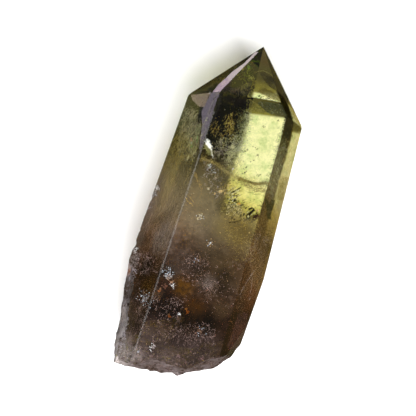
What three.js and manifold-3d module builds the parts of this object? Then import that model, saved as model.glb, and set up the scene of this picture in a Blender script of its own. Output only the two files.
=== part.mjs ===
// A polished point of lemon quartz, lying on the widest-set of its lower faces.
//
// Millimetres. The long axis of the crystal runs along Y, with the tip at +Y, the broken end at -Y
// and +Z up. Every face is first placed from the crystal's own axis and from its shoulder line,
// where the six long faces meet the six faces of the tip. The finished stone is then moved so that
// the origin is under the middle of its box, on the surface that it rests on.

import * as THREE from 'three';
import { mergeVertices } from 'three/addons/utils/BufferGeometryUtils.js';
import Module from 'manifold-3d';

// ---------------------------------------------------------------- driving dimensions

const TIP_HEIGHT = 15.0; // from the shoulder line to the tip
const AXIS_HEIGHT = 12.8; // from the surface that the stone rests on to its axis
const BODY_LENGTH = 77.5; // from the shoulder line to the far end of the break

// The six long faces. `facing` is the way a face looks, turned about the axis: 0 is +X, 90 is up.
// `out` is its distance from the axis at the shoulder line, and `widening` the angle by which it
// leaves the axis towards the broken end.
const LONG_FACES = [
  { facing: 90.0, out: 12.9, widening: 2.0 }, // top
  { facing: 143.6, out: 13.45, widening: 2.25 }, // upper left
  { facing: 227.9, out: 8.5, widening: 1.25 }, // lower left, set close to the axis
  { facing: 270.0, out: AXIS_HEIGHT, widening: 0.0 }, // the one that the stone rests on
  { facing: 352.0, out: 15.3, widening: 1.85 }, // lower right
  { facing: 23.6, out: 15.0, widening: 0.9 }, // upper right
];

// The six faces of the tip, which all pass through its point. `slope` is the angle to the axis.
const TIP_FACES = [
  { facing: 94.5, slope: 33.9 },
  { facing: 142.8, slope: 34.2 },
  { facing: 228.0, slope: 24.7 },
  { facing: 270.0, slope: 35.0 },
  { facing: 352.0, slope: 40.0 },
  { facing: 29.9, slope: 36.4 },
];

// Two flats ground along the lower right edge, narrowing the stone towards its broken end.
// `start` is where each begins, measured from the shoulder line, and `out` how far it is there
// from the axis.
const EDGE_FLATS = [
  { facing: 4.0, start: 46.0, out: 17.0, narrowing: 4.4 },
  { facing: 8.0, start: 58.0, out: 16.4, narrowing: 12.5 },
];

// The rough side where the left edge was broken away. Its scoops lie in a patch along the edge,
// given by half its width; the patch is as long as the side.
const SIDE_BREAK = { facing: 164.0, start: 50.5, out: 17.5, narrowing: 8.4 };
const SIDE_SCOOPS = { count: 16, halfWidth: 12, radius: [2.6, 5.0], depth: [0.35, 0.95], seed: 7 };

// The broken end. Seen from above, its outline runs through these points, each an [x, distance
// from the shoulder line] pair. Below its undercut's `from` it draws back towards the resting face.
// Scoops and a flight of low ledges cover it, and one small nub stands out of it.
const END_OUTLINE = [
  [-15.0, 74.6],
  [-13.2, 76.8],
  [-10.0, 77.5],
  [-1.5, 75.9],
  [4.0, 75.0],
  [11.4, 71.4],
  [12.4, 69.3],
  [17.0, 65.0],
];
const END_UNDERCUT = { from: 15.0, curve: 0.03 };
const END_SCOOPS = {
  count: 34,
  halfWidth: 18,
  halfLength: 15,
  radius: [2.6, 6.5],
  depth: [0.5, 1.6],
  seed: 23,
};
const END_LEDGES = { spacing: 6.4, drop: 1.1, turn: 62 };
const END_NUB = { x: 2.9, z: 13.5, height: 1.2, width: 2.3 };

// Small shell-shaped nicks along the upper left and other long edges: distance from the shoulder
// line, the edge's two faces by their place in LONG_FACES, and the nick's radius and depth.
const NICKS = [
  { along: 34.6, between: [1, 2], radius: 1.3, depth: 0.34 },
  { along: 47.2, between: [1, 2], radius: 1.7, depth: 0.5 },
  { along: 43.4, between: [1, 2], radius: 0.9, depth: 0.22 },
  { along: 61.5, between: [2, 3], radius: 2.6, depth: 0.6 },
  { along: 24.0, between: [2, 3], radius: 1.2, depth: 0.25 },
  { along: 57.5, between: [3, 4], radius: 2.0, depth: 0.45 },
];

const BREAK_CELL = 1.35; // mesh size of the broken surfaces
const NICK_DETAIL = 3; // how finely the ball that cuts a nick is divided

// The uncut block, and the blocks that cut away everything beyond a face of it. Those with a rough
// side are only as wide as the break that they make.
const RAW_BLOCK = { width: 80, length: 320 };
const CUTTER = { width: 640, thickness: 160 };
const SIDE_CUTTER_WIDTH = 60;
const END_CUTTER_WIDTH = 56;

const WELD_DISTANCE = 1e-4; // corners closer than this are one
const LEVEL = 1e-6; // a corner this close to a block's cutting side lies on it
const ENDWISE = 0.7; // a face whose normal runs this far along the stone looks endwise

// ---------------------------------------------------------------- helpers

const wasm = await Module();
wasm.setup();

const radians = THREE.MathUtils.degToRad;

// Three odd factors that scatter a seed and an index.
const SCATTER = { seed: 127.1, index: 311.7, stretch: 43758.5453 };

/** A repeatable number from 0 to 1 for a pair of whole numbers. */
function chance(seed, index) {
  const value = Math.sin(seed * SCATTER.seed + index * SCATTER.index) * SCATTER.stretch;
  return value - Math.floor(value);
}

/** Turns a closed three.js geometry into a solid that can be cut and joined. */
function solidFrom(geometry) {
  const bare = geometry.clone();
  bare.deleteAttribute('normal');
  bare.deleteAttribute('uv');
  const merged = mergeVertices(bare, WELD_DISTANCE);
  return new wasm.Manifold(
    new wasm.Mesh({
      numProp: 3,
      vertProperties: new Float32Array(merged.attributes.position.array),
      triVerts: new Uint32Array(merged.index.array),
    }),
  );
}

/** Turns a solid back into a geometry with flat faces. */
function geometryFrom(solid) {
  const mesh = solid.getMesh();
  const geometry = new THREE.BufferGeometry();
  geometry.setAttribute('position', new THREE.BufferAttribute(mesh.vertProperties, 3));
  geometry.setIndex(new THREE.BufferAttribute(mesh.triVerts, 1));
  geometry.computeVertexNormals();
  return geometry;
}

/** The way out of a long face: away from the axis, and tipped along it by the widening. */
function longNormal(facing, widening) {
  const turn = radians(facing);
  return new THREE.Vector3(Math.cos(turn), Math.tan(radians(widening)), Math.sin(turn)).normalize();
}

/** The point on a face straight out from the axis, at `along` below the shoulder line. */
function pointOut(facing, out, along) {
  const turn = radians(facing);
  return new THREE.Vector3(out * Math.cos(turn), -along, out * Math.sin(turn));
}

/**
 * A block that covers everything beyond a plane. With a `relief`, its cutting side is a fine mesh,
 * sunk into the stone by relief(across, along).
 */
function blockBeyond(normal, point, relief = null, width = CUTTER.width) {
  const cells = relief ? Math.ceil(width / BREAK_CELL) : 1;
  const geometry = new THREE.BoxGeometry(width, width, CUTTER.thickness, cells, cells, 1);
  geometry.translate(0, 0, CUTTER.thickness / 2);
  if (relief) {
    const position = geometry.attributes.position;
    for (let i = 0; i < position.count; i += 1) {
      if (Math.abs(position.getZ(i)) < LEVEL) {
        position.setZ(i, -relief(position.getX(i), position.getY(i)));
      }
    }
  }
  const endwise = Math.abs(normal.y) > ENDWISE;
  const guide = endwise ? new THREE.Vector3(0, 0, 1) : new THREE.Vector3(0, 1, 0);
  const along = guide.addScaledVector(normal, -guide.dot(normal)).normalize();
  const across = new THREE.Vector3().crossVectors(along, normal);
  geometry.applyMatrix4(new THREE.Matrix4().makeBasis(across, along, normal).setPosition(point));
  return solidFrom(geometry);
}

/** Shell-shaped scoops over a patch: how deep the deepest one is at a point. */
function scoopRelief({ count, halfWidth, halfLength, radius, depth, seed }) {
  const between = ([low, high], share) => low + (high - low) * share;
  const scoops = Array.from({ length: count }, (_, i) => ({
    x: (2 * chance(seed, i) - 1) * halfWidth,
    y: (2 * chance(seed + 1, i) - 1) * halfLength,
    radius: between(radius, chance(seed + 2, i)),
    depth: between(depth, chance(seed + 3, i)),
  }));
  return (x, y) =>
    scoops.reduce((deepest, scoop) => {
      const away = ((x - scoop.x) ** 2 + (y - scoop.y) ** 2) / scoop.radius ** 2;
      return Math.max(deepest, scoop.depth * (1 - away));
    }, 0);
}

/** A small round hill, 1 high at its middle and 0 at `width` from it. */
function hill(x, z, { x: hillX, z: hillZ, width }) {
  return Math.max(0, 1 - Math.hypot(x - hillX, z - hillZ) / width);
}

// ---------------------------------------------------------------- the crystal

const tip = new THREE.Vector3(0, TIP_HEIGHT, 0);

/** The stone with all its polished faces, on the axis, still a straight block at the far end. */
function polishedPoint() {
  let stone = solidFrom(new THREE.BoxGeometry(RAW_BLOCK.width, RAW_BLOCK.length, RAW_BLOCK.width));
  for (const { facing, out, widening } of LONG_FACES) {
    stone = stone.subtract(blockBeyond(longNormal(facing, widening), pointOut(facing, out, 0)));
  }
  for (const { facing, slope } of TIP_FACES) {
    stone = stone.subtract(blockBeyond(longNormal(facing, slope), tip));
  }
  for (const { facing, start, out, narrowing } of EDGE_FLATS) {
    stone = stone.subtract(blockBeyond(longNormal(facing, -narrowing), pointOut(facing, out, start)));
  }
  return stone;
}

/** What was broken from the left edge, down to a scalloped surface. */
function sideBreak() {
  const { facing, start, out, narrowing } = SIDE_BREAK;
  const halfLength = (BODY_LENGTH - start) / 2;
  const middleOut = out - halfLength * Math.tan(radians(narrowing));
  const middle = pointOut(facing, middleOut, start + halfLength);
  const scoops = scoopRelief({ ...SIDE_SCOOPS, halfLength });
  return blockBeyond(longNormal(facing, -narrowing), middle, scoops, SIDE_CUTTER_WIDTH);
}

/** How far from the shoulder line the end's outline lies at x. */
function endOutline(x) {
  const last = END_OUTLINE.length - 1;
  const found = END_OUTLINE.findIndex(([pointX]) => pointX > x);
  const next = found < 0 ? last : Math.max(found, 1);
  const [x0, along0] = END_OUTLINE[next - 1];
  const [x1, along1] = END_OUTLINE[next];
  return along0 + ((along1 - along0) * (x - x0)) / (x1 - x0);
}

/** Low ledges, each a slow rise and a sudden drop, running across the end. */
function ledgeRelief(x, up) {
  const turn = radians(END_LEDGES.turn);
  const step = (x * Math.cos(turn) + up * Math.sin(turn)) / END_LEDGES.spacing;
  return END_LEDGES.drop * (step - Math.floor(step) - 0.5);
}

/** What was broken from the far end. */
function endBreak() {
  const scoops = scoopRelief(END_SCOOPS);
  const relief = (x, up) => {
    const z = up + AXIS_HEIGHT;
    const nub = hill(x, z, END_NUB);
    const undercut = END_UNDERCUT.curve * Math.max(0, END_UNDERCUT.from - z) ** 2;
    const worn = (scoops(x, up) + ledgeRelief(x, up)) * (1 - nub);
    return BODY_LENGTH - endOutline(x) + undercut + worn - END_NUB.height * nub;
  };
  const endwise = new THREE.Vector3(0, -1, 0);
  return blockBeyond(endwise, new THREE.Vector3(0, -BODY_LENGTH, 0), relief, END_CUTTER_WIDTH);
}

/** The ball that cuts one nick, sunk across the edge where two long faces meet. */
function nick({ along, between, radius, depth }) {
  const lines = between.map((place) => {
    const { facing, out, widening } = LONG_FACES[place];
    const turn = radians(facing);
    const distance = out + along * Math.tan(radians(widening));
    return { cos: Math.cos(turn), sin: Math.sin(turn), distance };
  });
  const [p, q] = lines;
  const spread = p.cos * q.sin - q.cos * p.sin;
  const x = (p.distance * q.sin - q.distance * p.sin) / spread;
  const z = (p.cos * q.distance - q.cos * p.distance) / spread;
  const outward = new THREE.Vector3(p.cos + q.cos, 0, p.sin + q.sin).normalize();
  const ball = new THREE.IcosahedronGeometry(radius, NICK_DETAIL);
  const centre = new THREE.Vector3(x, -along, z).addScaledVector(outward, radius - depth);
  ball.translate(centre.x, centre.y, centre.z);
  return solidFrom(ball);
}

let stone = polishedPoint().subtract(sideBreak()).subtract(endBreak());
for (const place of NICKS) {
  stone = stone.subtract(nick(place));
}

const geometry = geometryFrom(stone);
geometry.computeBoundingBox();
const middle = geometry.boundingBox.getCenter(new THREE.Vector3());
geometry.translate(-middle.x, -middle.y, AXIS_HEIGHT);

const LEMON = 0x8d8a3a;
const quartz = new THREE.MeshStandardMaterial({ color: LEMON, roughness: 0.05, metalness: 0.0 });
const crystal = new THREE.Mesh(geometry, quartz);
crystal.name = 'crystal';

const part = new THREE.Group();
part.add(crystal);

export default part;
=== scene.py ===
"""A polished point of lemon quartz lying on a pale floor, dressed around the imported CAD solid.

Metres, in the frame of the CAD part. Places on the stone are written in the stone's own millimetres:
x across it, `along` from its shoulder line towards the broken end, and z above the floor. Faults inside
the stone are written as the pixel of the 416 x 416 photograph that they show at, and their depth in
millimetres below the face that they are seen through.
"""

import math
from functools import partial
from operator import methodcaller

import bmesh
import bpy
import numpy as np
from mathutils import Matrix, Vector, noise
from mathutils.bvhtree import BVHTree


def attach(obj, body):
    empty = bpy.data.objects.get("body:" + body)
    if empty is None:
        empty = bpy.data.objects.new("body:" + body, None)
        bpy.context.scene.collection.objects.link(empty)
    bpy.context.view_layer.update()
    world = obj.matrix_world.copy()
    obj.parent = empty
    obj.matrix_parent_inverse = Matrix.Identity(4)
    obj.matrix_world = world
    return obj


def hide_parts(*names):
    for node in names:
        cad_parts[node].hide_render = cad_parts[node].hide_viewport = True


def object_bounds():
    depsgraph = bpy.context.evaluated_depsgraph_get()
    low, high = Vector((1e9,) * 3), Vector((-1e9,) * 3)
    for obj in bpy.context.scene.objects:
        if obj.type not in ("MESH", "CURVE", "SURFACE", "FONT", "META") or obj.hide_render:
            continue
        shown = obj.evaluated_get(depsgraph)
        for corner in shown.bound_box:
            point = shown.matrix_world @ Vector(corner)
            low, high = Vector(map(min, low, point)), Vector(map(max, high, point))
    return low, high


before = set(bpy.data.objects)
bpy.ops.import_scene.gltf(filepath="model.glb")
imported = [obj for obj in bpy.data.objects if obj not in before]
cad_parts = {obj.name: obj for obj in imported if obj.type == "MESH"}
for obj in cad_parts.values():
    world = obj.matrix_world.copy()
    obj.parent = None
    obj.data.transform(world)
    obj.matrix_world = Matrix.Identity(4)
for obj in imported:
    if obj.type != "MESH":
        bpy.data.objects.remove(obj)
cad_low, cad_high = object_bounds()

# ---------------------------------------------------------------- sizes and places

MM = 0.001
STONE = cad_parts["crystal"]
TIP = max((STONE.matrix_world @ v.co for v in STONE.data.vertices), key=lambda p: p.y)
TIP_ALONG = -15.0  # the tip, measured from the shoulder line

IMAGE_SIZE = 416
CAMERA_TARGET = (-1.9, 31.9, 12.0)  # x, along, z
CAMERA_AZIMUTH = 0.82
CAMERA_ELEVATION = 76.4
CAMERA_ROLL = -15.77
CAMERA_DISTANCE = 0.300
CAMERA_LENS = 100.0
CAMERA_SENSOR = 36.0

QUARTZ_IOR = 1.544
LEMON = (0.93, 0.955, 0.0)  # what the body lets through
LEMON_DENSITY = 24.0
POLISHED_AREA = 12e-6  # a face larger than this was polished, in square metres
WORN_FROM = 7.0  # the long edge on the left is worn from here to the break
BEVEL = 0.00024  # the width of that wear, in metres
BREAK_EDGE = 0.000588  # longer edges of the broken faces are divided, in metres
BREAK_ROUNDS = 4  # but no more than so many times
TOP_FACING = 0.3  # how far a face has to look up to be on the top of the stone
SAME_POINT = 2e-6  # corners closer than this are one, in metres
SAME_FACE = 0.3  # faces that turn by less than this are one, in degrees
EASED_ANGLE = 32  # edges of the breaks that turn by more than this stay sharp, in degrees


def place(x, along, z):
    """A point of the stone, given in its own millimetres."""
    return Vector((TIP.x + x * MM, TIP.y - (along - TIP_ALONG) * MM, z * MM))


def along_of(point):
    """How far along the stone a point lies, in mm from the shoulder line."""
    return (TIP.y - point.y) / MM + TIP_ALONG


def add_object(name, mesh):
    made = bpy.data.objects.new(name, mesh)
    bpy.context.scene.collection.objects.link(made)
    return made


def dress(piece):
    """Gives a piece to the part: it rides the body and stands for the CAD node, which it hides."""
    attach(piece, "root")
    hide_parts("crystal")


# ---------------------------------------------------------------- the view of the photograph


def camera_axes():
    """The camera's right, up and back directions."""
    azimuth, elevation, roll = (math.radians(a) for a in (CAMERA_AZIMUTH, CAMERA_ELEVATION, CAMERA_ROLL))
    back = Vector(
        (
            math.sin(azimuth) * math.cos(elevation),
            -math.cos(azimuth) * math.cos(elevation),
            math.sin(elevation),
        )
    )
    level = Vector((math.cos(azimuth), math.sin(azimuth), 0))
    upright = back.cross(level)
    right = math.cos(roll) * level - math.sin(roll) * upright
    up = math.sin(roll) * level + math.cos(roll) * upright
    return right, up, back


def make_camera():
    right, up, back = camera_axes()
    camera = bpy.data.objects.new("camera", bpy.data.cameras.new("camera"))
    camera.data.lens = CAMERA_LENS
    camera.data.sensor_width = CAMERA_SENSOR
    camera.data.clip_start = 0.01
    camera.rotation_mode = "QUATERNION"
    camera.rotation_quaternion = Matrix((right, up, back)).transposed().to_quaternion()
    camera.location = place(*CAMERA_TARGET) + back * CAMERA_DISTANCE
    bpy.context.scene.collection.objects.link(camera)
    bpy.context.scene.camera = camera


def stone_tree():
    """The CAD solid as a tree that answers where a ray meets it and whether a point is inside."""
    bm = bmesh.new()
    bm.from_mesh(STONE.data)
    bm.transform(STONE.matrix_world)
    tree = BVHTree.FromBMesh(bm)
    bm.free()
    return tree


SURFACE = stone_tree()


def seen(pixel, depth):
    """The point that shows at a pixel, `depth` mm behind the face, or None off the stone."""
    right, up, back = camera_axes()
    focal = CAMERA_LENS / CAMERA_SENSOR * IMAGE_SIZE
    across, down = (value - IMAGE_SIZE / 2 for value in pixel)
    ray = (right * across - up * down - back * focal).normalized()
    start = place(*CAMERA_TARGET) + back * CAMERA_DISTANCE
    hit, normal, _, _ = SURFACE.ray_cast(start, ray)
    if hit is None:
        return None
    facing = -ray.dot(normal)
    ratio = 1 / QUARTZ_IOR
    bent = ratio * ray + (ratio * facing - math.sqrt(1 - ratio**2 * (1 - facing**2))) * normal
    return hit + bent * depth * MM


def inside(point, margin=0.0003):
    """Whether a point lies in the stone, at least `margin` metres behind its surface."""
    near, normal, _, distance = SURFACE.find_nearest(point)
    return distance > margin and (point - near).dot(normal) < 0


# ---------------------------------------------------------------- materials


class Nodes:
    """Adds and joins the nodes of one material."""

    def __init__(self, material):
        self.tree = material.node_tree
        self.shader = self.tree.nodes.get("Principled BSDF")

    def add(self, kind, **settings):
        node = self.tree.nodes.new("ShaderNode" + kind)
        for name, value in settings.items():
            setattr(node, name, value)
        return node

    def feed(self, socket, value):
        """Sets a socket to a number or colour, or links it to another socket."""
        if isinstance(value, bpy.types.NodeSocket):
            self.tree.links.new(value, socket)
        elif isinstance(value, tuple) and len(value) != len(socket.default_value):
            socket.default_value = (*value, 1)
        else:
            socket.default_value = value

    def math(self, operation, first, second, clamp=False):
        node = self.add("Math", operation=operation, use_clamp=clamp)
        self.feed(node.inputs[0], first)
        self.feed(node.inputs[1], second)
        return node.outputs[0]

    def plus(self, first, second, clamp=False):
        return self.math("ADD", first, second, clamp)

    def minus(self, first, second):
        return self.math("SUBTRACT", first, second)

    def times(self, first, *others):
        for other in others:
            first = self.math("MULTIPLY", first, other)
        return first

    def rise(self, value, start, end, low=0.0, high=1.0):
        """A soft rise from low to high while the value goes from start to end."""
        node = self.add("MapRange", interpolation_type="SMOOTHSTEP")
        settings = {"Value": value, "From Min": start, "From Max": end, "To Min": low, "To Max": high}
        for name, setting in settings.items():
            self.feed(node.inputs[name], setting)
        return node.outputs[0]

    def ramp(self, factor, stops):
        """Colours along a line from 0 to 1; each stop is a place on it and a colour."""
        node = self.add("ValToRGB")
        elements = node.color_ramp.elements
        while len(elements) < len(stops):
            elements.new(0.5)
        for element, (position, colour) in zip(elements, stops):
            element.position = position
            element.color = (*colour, 1)
        self.feed(node.inputs[0], factor)
        return node.outputs[0]

    def mix(self, factor, first, second, blend="MIX"):
        node = self.add("Mix", data_type="RGBA", blend_type=blend)
        sockets = {socket.identifier: socket for socket in node.inputs}
        self.feed(sockets["Factor_Float"], factor)
        self.feed(sockets["A_Color"], first)
        self.feed(sockets["B_Color"], second)
        return next(socket for socket in node.outputs if socket.identifier == "Result_Color")

    def noise(self, vector, size, detail=3.0, roughness=0.55, distortion=0.0):
        """Cloudy noise, from 0 to 1 about 0.5, whose clouds are `size` across."""
        node = self.add("TexNoise")
        settings = {"Scale": 1 / size, "Detail": detail, "Roughness": roughness, "Distortion": distortion}
        for name, value in settings.items():
            node.inputs[name].default_value = value
        self.feed(node.inputs["Vector"], vector)
        return node.outputs["Fac"]

    def stone_place(self):
        """Where the surface is, in the stone's own millimetres: x, along and z."""
        node = self.add("Mapping", vector_type="POINT")
        node.inputs["Scale"].default_value = (1 / MM, -1 / MM, 1 / MM)
        node.inputs["Location"].default_value = (-TIP.x / MM, TIP.y / MM + TIP_ALONG, 0)
        self.feed(node.inputs["Vector"], self.add("TexCoord").outputs["Object"])
        return node.outputs[0]

    def looks(self, axis):
        """How far the face looks along x, y or z, from -1 to 1."""
        return self.parts(self.add("TexCoord").outputs["Normal"])[axis]

    def parts(self, vector):
        node = self.add("SeparateXYZ")
        self.feed(node.inputs[0], vector)
        return node.outputs

    def near(self, vector, centre, reach):
        """1 at a place of the stone, fading to 0 at `reach` millimetres from it."""
        node = self.add("VectorMath", operation="DISTANCE")
        self.feed(node.inputs[0], vector)
        self.feed(node.inputs[1], centre)
        return self.rise(node.outputs["Value"], 0.25 * reach, reach, 1.0, 0.0)


def new_material(name):
    material = bpy.data.materials.new(name)
    material.use_nodes = True
    return material, Nodes(material)


def grey(level):
    return (level, level, level)


# the smoky part starts along a slanting front: its place at x = 0, its slope, and how far it wanders, in mm
FRONT_ALONG = 24.5
FRONT_SLOPE = 0.42
FRONT_WANDER = 9.0
HAZE_LENGTH = 60.0  # the haze's colours are spread over this length below the front

# noises of the stone's colour: size in mm, detail, roughness and distortion
FRONT_NOISE = (14.0, 4.0)
CLOUD_NOISE = (5.0, 4.0, 0.6, 0.3)
WISP_NOISE = (1.0, 5.0, 0.72, 0.4)
GRAIN_NOISE = (0.55, 3.0, 0.7)
# how dark and how light each of them makes the colour
CLOUD_SHADES = (0.52, 1.4)
WISP_SHADES = (0.56, 1.45)
GRAIN_SHADES = (0.60, 1.45)

# the smoky part's colour and haze, with their share of the haze's length
SMOKY_TONES = [
    (0.00, (0.74, 0.63, 0.26)),
    (0.12, (0.70, 0.56, 0.26)),
    (0.30, (0.66, 0.49, 0.28)),
    (0.43, (0.44, 0.23, 0.12)),
    (0.62, (0.36, 0.155, 0.08)),
    (0.80, (0.46, 0.285, 0.25)),
]
SMOKY_HAZE = [
    (0.00, grey(0.01)),
    (0.10, grey(0.07)),
    (0.20, grey(0.13)),
    (0.33, grey(0.13)),
    (0.43, grey(0.045)),
    (0.60, grey(0.026)),
    (0.80, grey(0.05)),
]
# the colour of the right side, partly painted shade and light by the way its faces look, with its share of
# the haze's length from the shoulder line
GOLD_TONES = [
    (0.00, (0.50, 0.35, 0.09)),
    (0.07, (0.68, 0.57, 0.26)),
    (0.28, (0.56, 0.43, 0.20)),
    (0.42, (0.46, 0.35, 0.14)),
    (0.58, (0.54, 0.37, 0.17)),
    (0.70, (0.70, 0.48, 0.30)),
]
DRIFT_TONE = (0.54, 0.40, 0.34)
RIM_TONE = (0.42, 0.31, 0.28)
SHOULDER_TINGE = (1.0, 0.94, 0.72)
TIP_TINGE = (1.0, 0.81, 0.60)
UNDERSIDE_TONE = (0.05, 0.032, 0.014)
DRIFT_HAZE = 0.035
DRIFT_STRENGTH = 0.7
RIM_HAZE = 0.02
CONTRAST = 0.35  # how strongly the noises show at the front, and how much more they do in the lower half
LOWER_CONTRAST = 0.55

# where the looks of the faces set in, as the start and end of a soft rise: shares of the haze's length,
# noise, how far a face looks sideways or up, and ranges of x, along, z and of the way below the front in mm
LOWER_SHARE = (0.26, 0.44)
DRIFT_WISPS = (0.47, 0.64)
DRIFT_CLOUDS = (0.42, 0.60)
LOOKS_LEFT = (-0.45, -0.55)
LOOKS_RIGHT = (0.50, 0.60)
LOOKS_UP = (0.15, 0.25)
SMOKY_FROM = (-3.0, 6.0)
TONED_FROM = (-6.0, 1.0)
DARK_BELOW_FROM = (-4.0, 6.0)
UNDERSIDE = (7.0, 3.0)
LEFT_HAZE_ABOVE = (12.0, 15.0)
RIM_BELOW = (19.5, 16.0)
RIM_LEFT_OF = (-1.0, -6.0)
RIM_FROM = (22.0, 32.0)
SHOULDER = (5.0, 0.0)
POINT = (-6.5, -9.0)

# rises between two given values: haze along the left and the right faces, and how wisps break up the looks
# the haze of the left and right faces is partly painted light: it makes those faces lighter by the way they
# look
LEFT_MILK_AND_LIGHT = ((16.0, 40.0, 0.01, 0.09), (46.0, 56.0, 0.0, -0.08))
RIGHT_MILK_AND_LIGHT = ((12.0, 24.0, 0.0, 0.11), (30.0, 40.0, 0.0, -0.12))
RIM_WISPS = (0.35, 0.6, 0.4, 1.0)
PATCH_WISPS = (0.35, 0.58, 0.45, 1.0)
GOLD_WISPS = (0.3, 0.65, 0.8, 1.0)
STAIN_SPECKS = (0.3, 0.6, 0.4, 1.0)

# soft patches in the smoky part: the pixel they show at, their reach in mm, their colour, how far they
# take on that colour, and how much haze they add or take away
PATCHES = {
    "milky": ((209, 283), 3.4, (0.66, 0.56, 0.52), 0.75, 0.045),
    "milky_right": ((223, 282), 5.0, (0.36, 0.22, 0.12), 0.6, -0.03),
    "mauve_top": ((180, 262), 6.0, (0.50, 0.38, 0.32), 0.5, 0.02),
    "glow_left": ((147, 286), 4.2, (0.60, 0.27, 0.03), 0.8, 0.012),
    "glow_middle": ((183, 287), 4.0, (0.78, 0.32, 0.02), 0.9, 0.028),
    "glow_low": ((193, 311), 4.8, (0.66, 0.23, 0.015), 0.9, 0.012),
    "rust": ((250, 300), 6.5, (0.62, 0.26, 0.11), 0.7, 0.02),
    "olive_right": ((247, 249), 5.0, (0.70, 0.49, 0.17), 0.7, 0.005),
    "hollow_low": ((205, 323), 4.5, (0.22, 0.11, 0.05), 0.8, -0.03),
    "hollow_middle": ((158, 305), 5.0, (0.26, 0.14, 0.07), 0.7, -0.03),
    "hollow_left": ((146, 266), 3.5, (0.25, 0.15, 0.08), 0.7, -0.05),
    "grey_left": ((122, 353), 7.5, (0.80, 0.70, 0.68), 0.9, 0.34),
    "grey_corner": ((134, 359), 5.0, (0.80, 0.70, 0.68), 0.9, 0.12),
    "mist": ((229, 171), 4.0, (0.86, 0.78, 0.40), 0.5, 0.06),
    "olive_left": ((227, 206), 3.6, (0.40, 0.32, 0.10), 0.7, -0.06),
    "bright_left": ((234, 197), 3.2, (0.95, 0.88, 0.50), 0.8, -0.06),
    "bright_end": ((252, 199), 5.0, (1.0, 0.95, 0.60), 0.9, -0.08),
    "clear_end": ((253, 208), 4.5, (0.80, 0.74, 0.36), 0.6, -0.08),
    "hollow_centre": ((175, 317), 5.0, (0.25, 0.13, 0.06), 0.6, -0.03),
    "brown_right": ((230, 262), 7.0, (0.44, 0.25, 0.09), 0.8, -0.06),
    "grey_low": ((168, 362), 4.5, (0.60, 0.49, 0.48), 0.6, 0.03),
    "maroon": ((234, 338), 5.5, (0.46, 0.20, 0.15), 0.9, 0.035),
    "maroon_edge": ((241, 331), 3.5, (0.42, 0.20, 0.14), 0.9, 0.06),
    "brown_band": ((212, 246), 5.5, (0.46, 0.31, 0.17), 0.6, -0.045),
    "brown_low": ((186, 321), 4.5, (0.31, 0.15, 0.08), 0.7, -0.03),
    "left_mist": ((163, 238), 6.5, (0.70, 0.57, 0.46), 0.7, 0.07),
    "mauve_low": ((180, 352), 7.0, (0.52, 0.34, 0.34), 0.8, -0.012),
    "mauve_low_right": ((205, 348), 6.3, (0.53, 0.35, 0.34), 0.8, -0.001),
    "mauve_low_left": ((150, 346), 6.0, (0.58, 0.40, 0.40), 0.7, -0.006),
    "brown_lower_right": ((245, 275), 6.0, (0.44, 0.21, 0.085), 0.75, -0.025),
    "brown_middle": ((202, 269), 3.4, (0.44, 0.27, 0.16), 0.6, -0.03),
    "brown_left": ((168, 270), 3.4, (0.48, 0.33, 0.23), 0.6, -0.03),
    "umber": ((156, 294), 2.6, (0.72, 0.48, 0.31), 0.7, 0.02),
    "brown_glow": ((221, 309), 3.4, (0.72, 0.42, 0.20), 0.7, 0.01),
    "olive_middle": ((240, 233), 5.0, (0.66, 0.43, 0.09), 0.85, -0.025),
    "olive_low": ((229, 228), 5.5, (0.74, 0.54, 0.17), 0.7, -0.01),
}

# stains on the broken side: pixel, reach in mm and colour
STAINS = {
    "rusty": ((129, 269), 2.6, (0.60, 0.20, 0.06)),
    "cream": ((123, 316), 2.0, (0.72, 0.60, 0.44)),
    "lilac": ((128, 290), 4.5, (0.16, 0.11, 0.09)),
    "lilac_low": ((123, 316), 5.0, (0.60, 0.50, 0.49)),
    "lilac_mid": ((123, 332), 5.0, (0.84, 0.74, 0.72)),
    "corner": ((117, 350), 6.5, (0.94, 0.83, 0.80)),
    "mauve_upper": ((133, 258), 4.0, (0.70, 0.58, 0.54)),
    "maroon": ((231, 352), 5.0, (0.07, 0.04, 0.035)),
    "brown_rim": ((220, 361), 5.0, (0.13, 0.09, 0.085)),
}


def surface_place(pixel):
    """The place on the stone's surface that shows at a pixel, in the stone's millimetres."""
    point = seen(pixel, 0)
    return ((point.x - TIP.x) / MM, along_of(point), point.z / MM)


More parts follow.
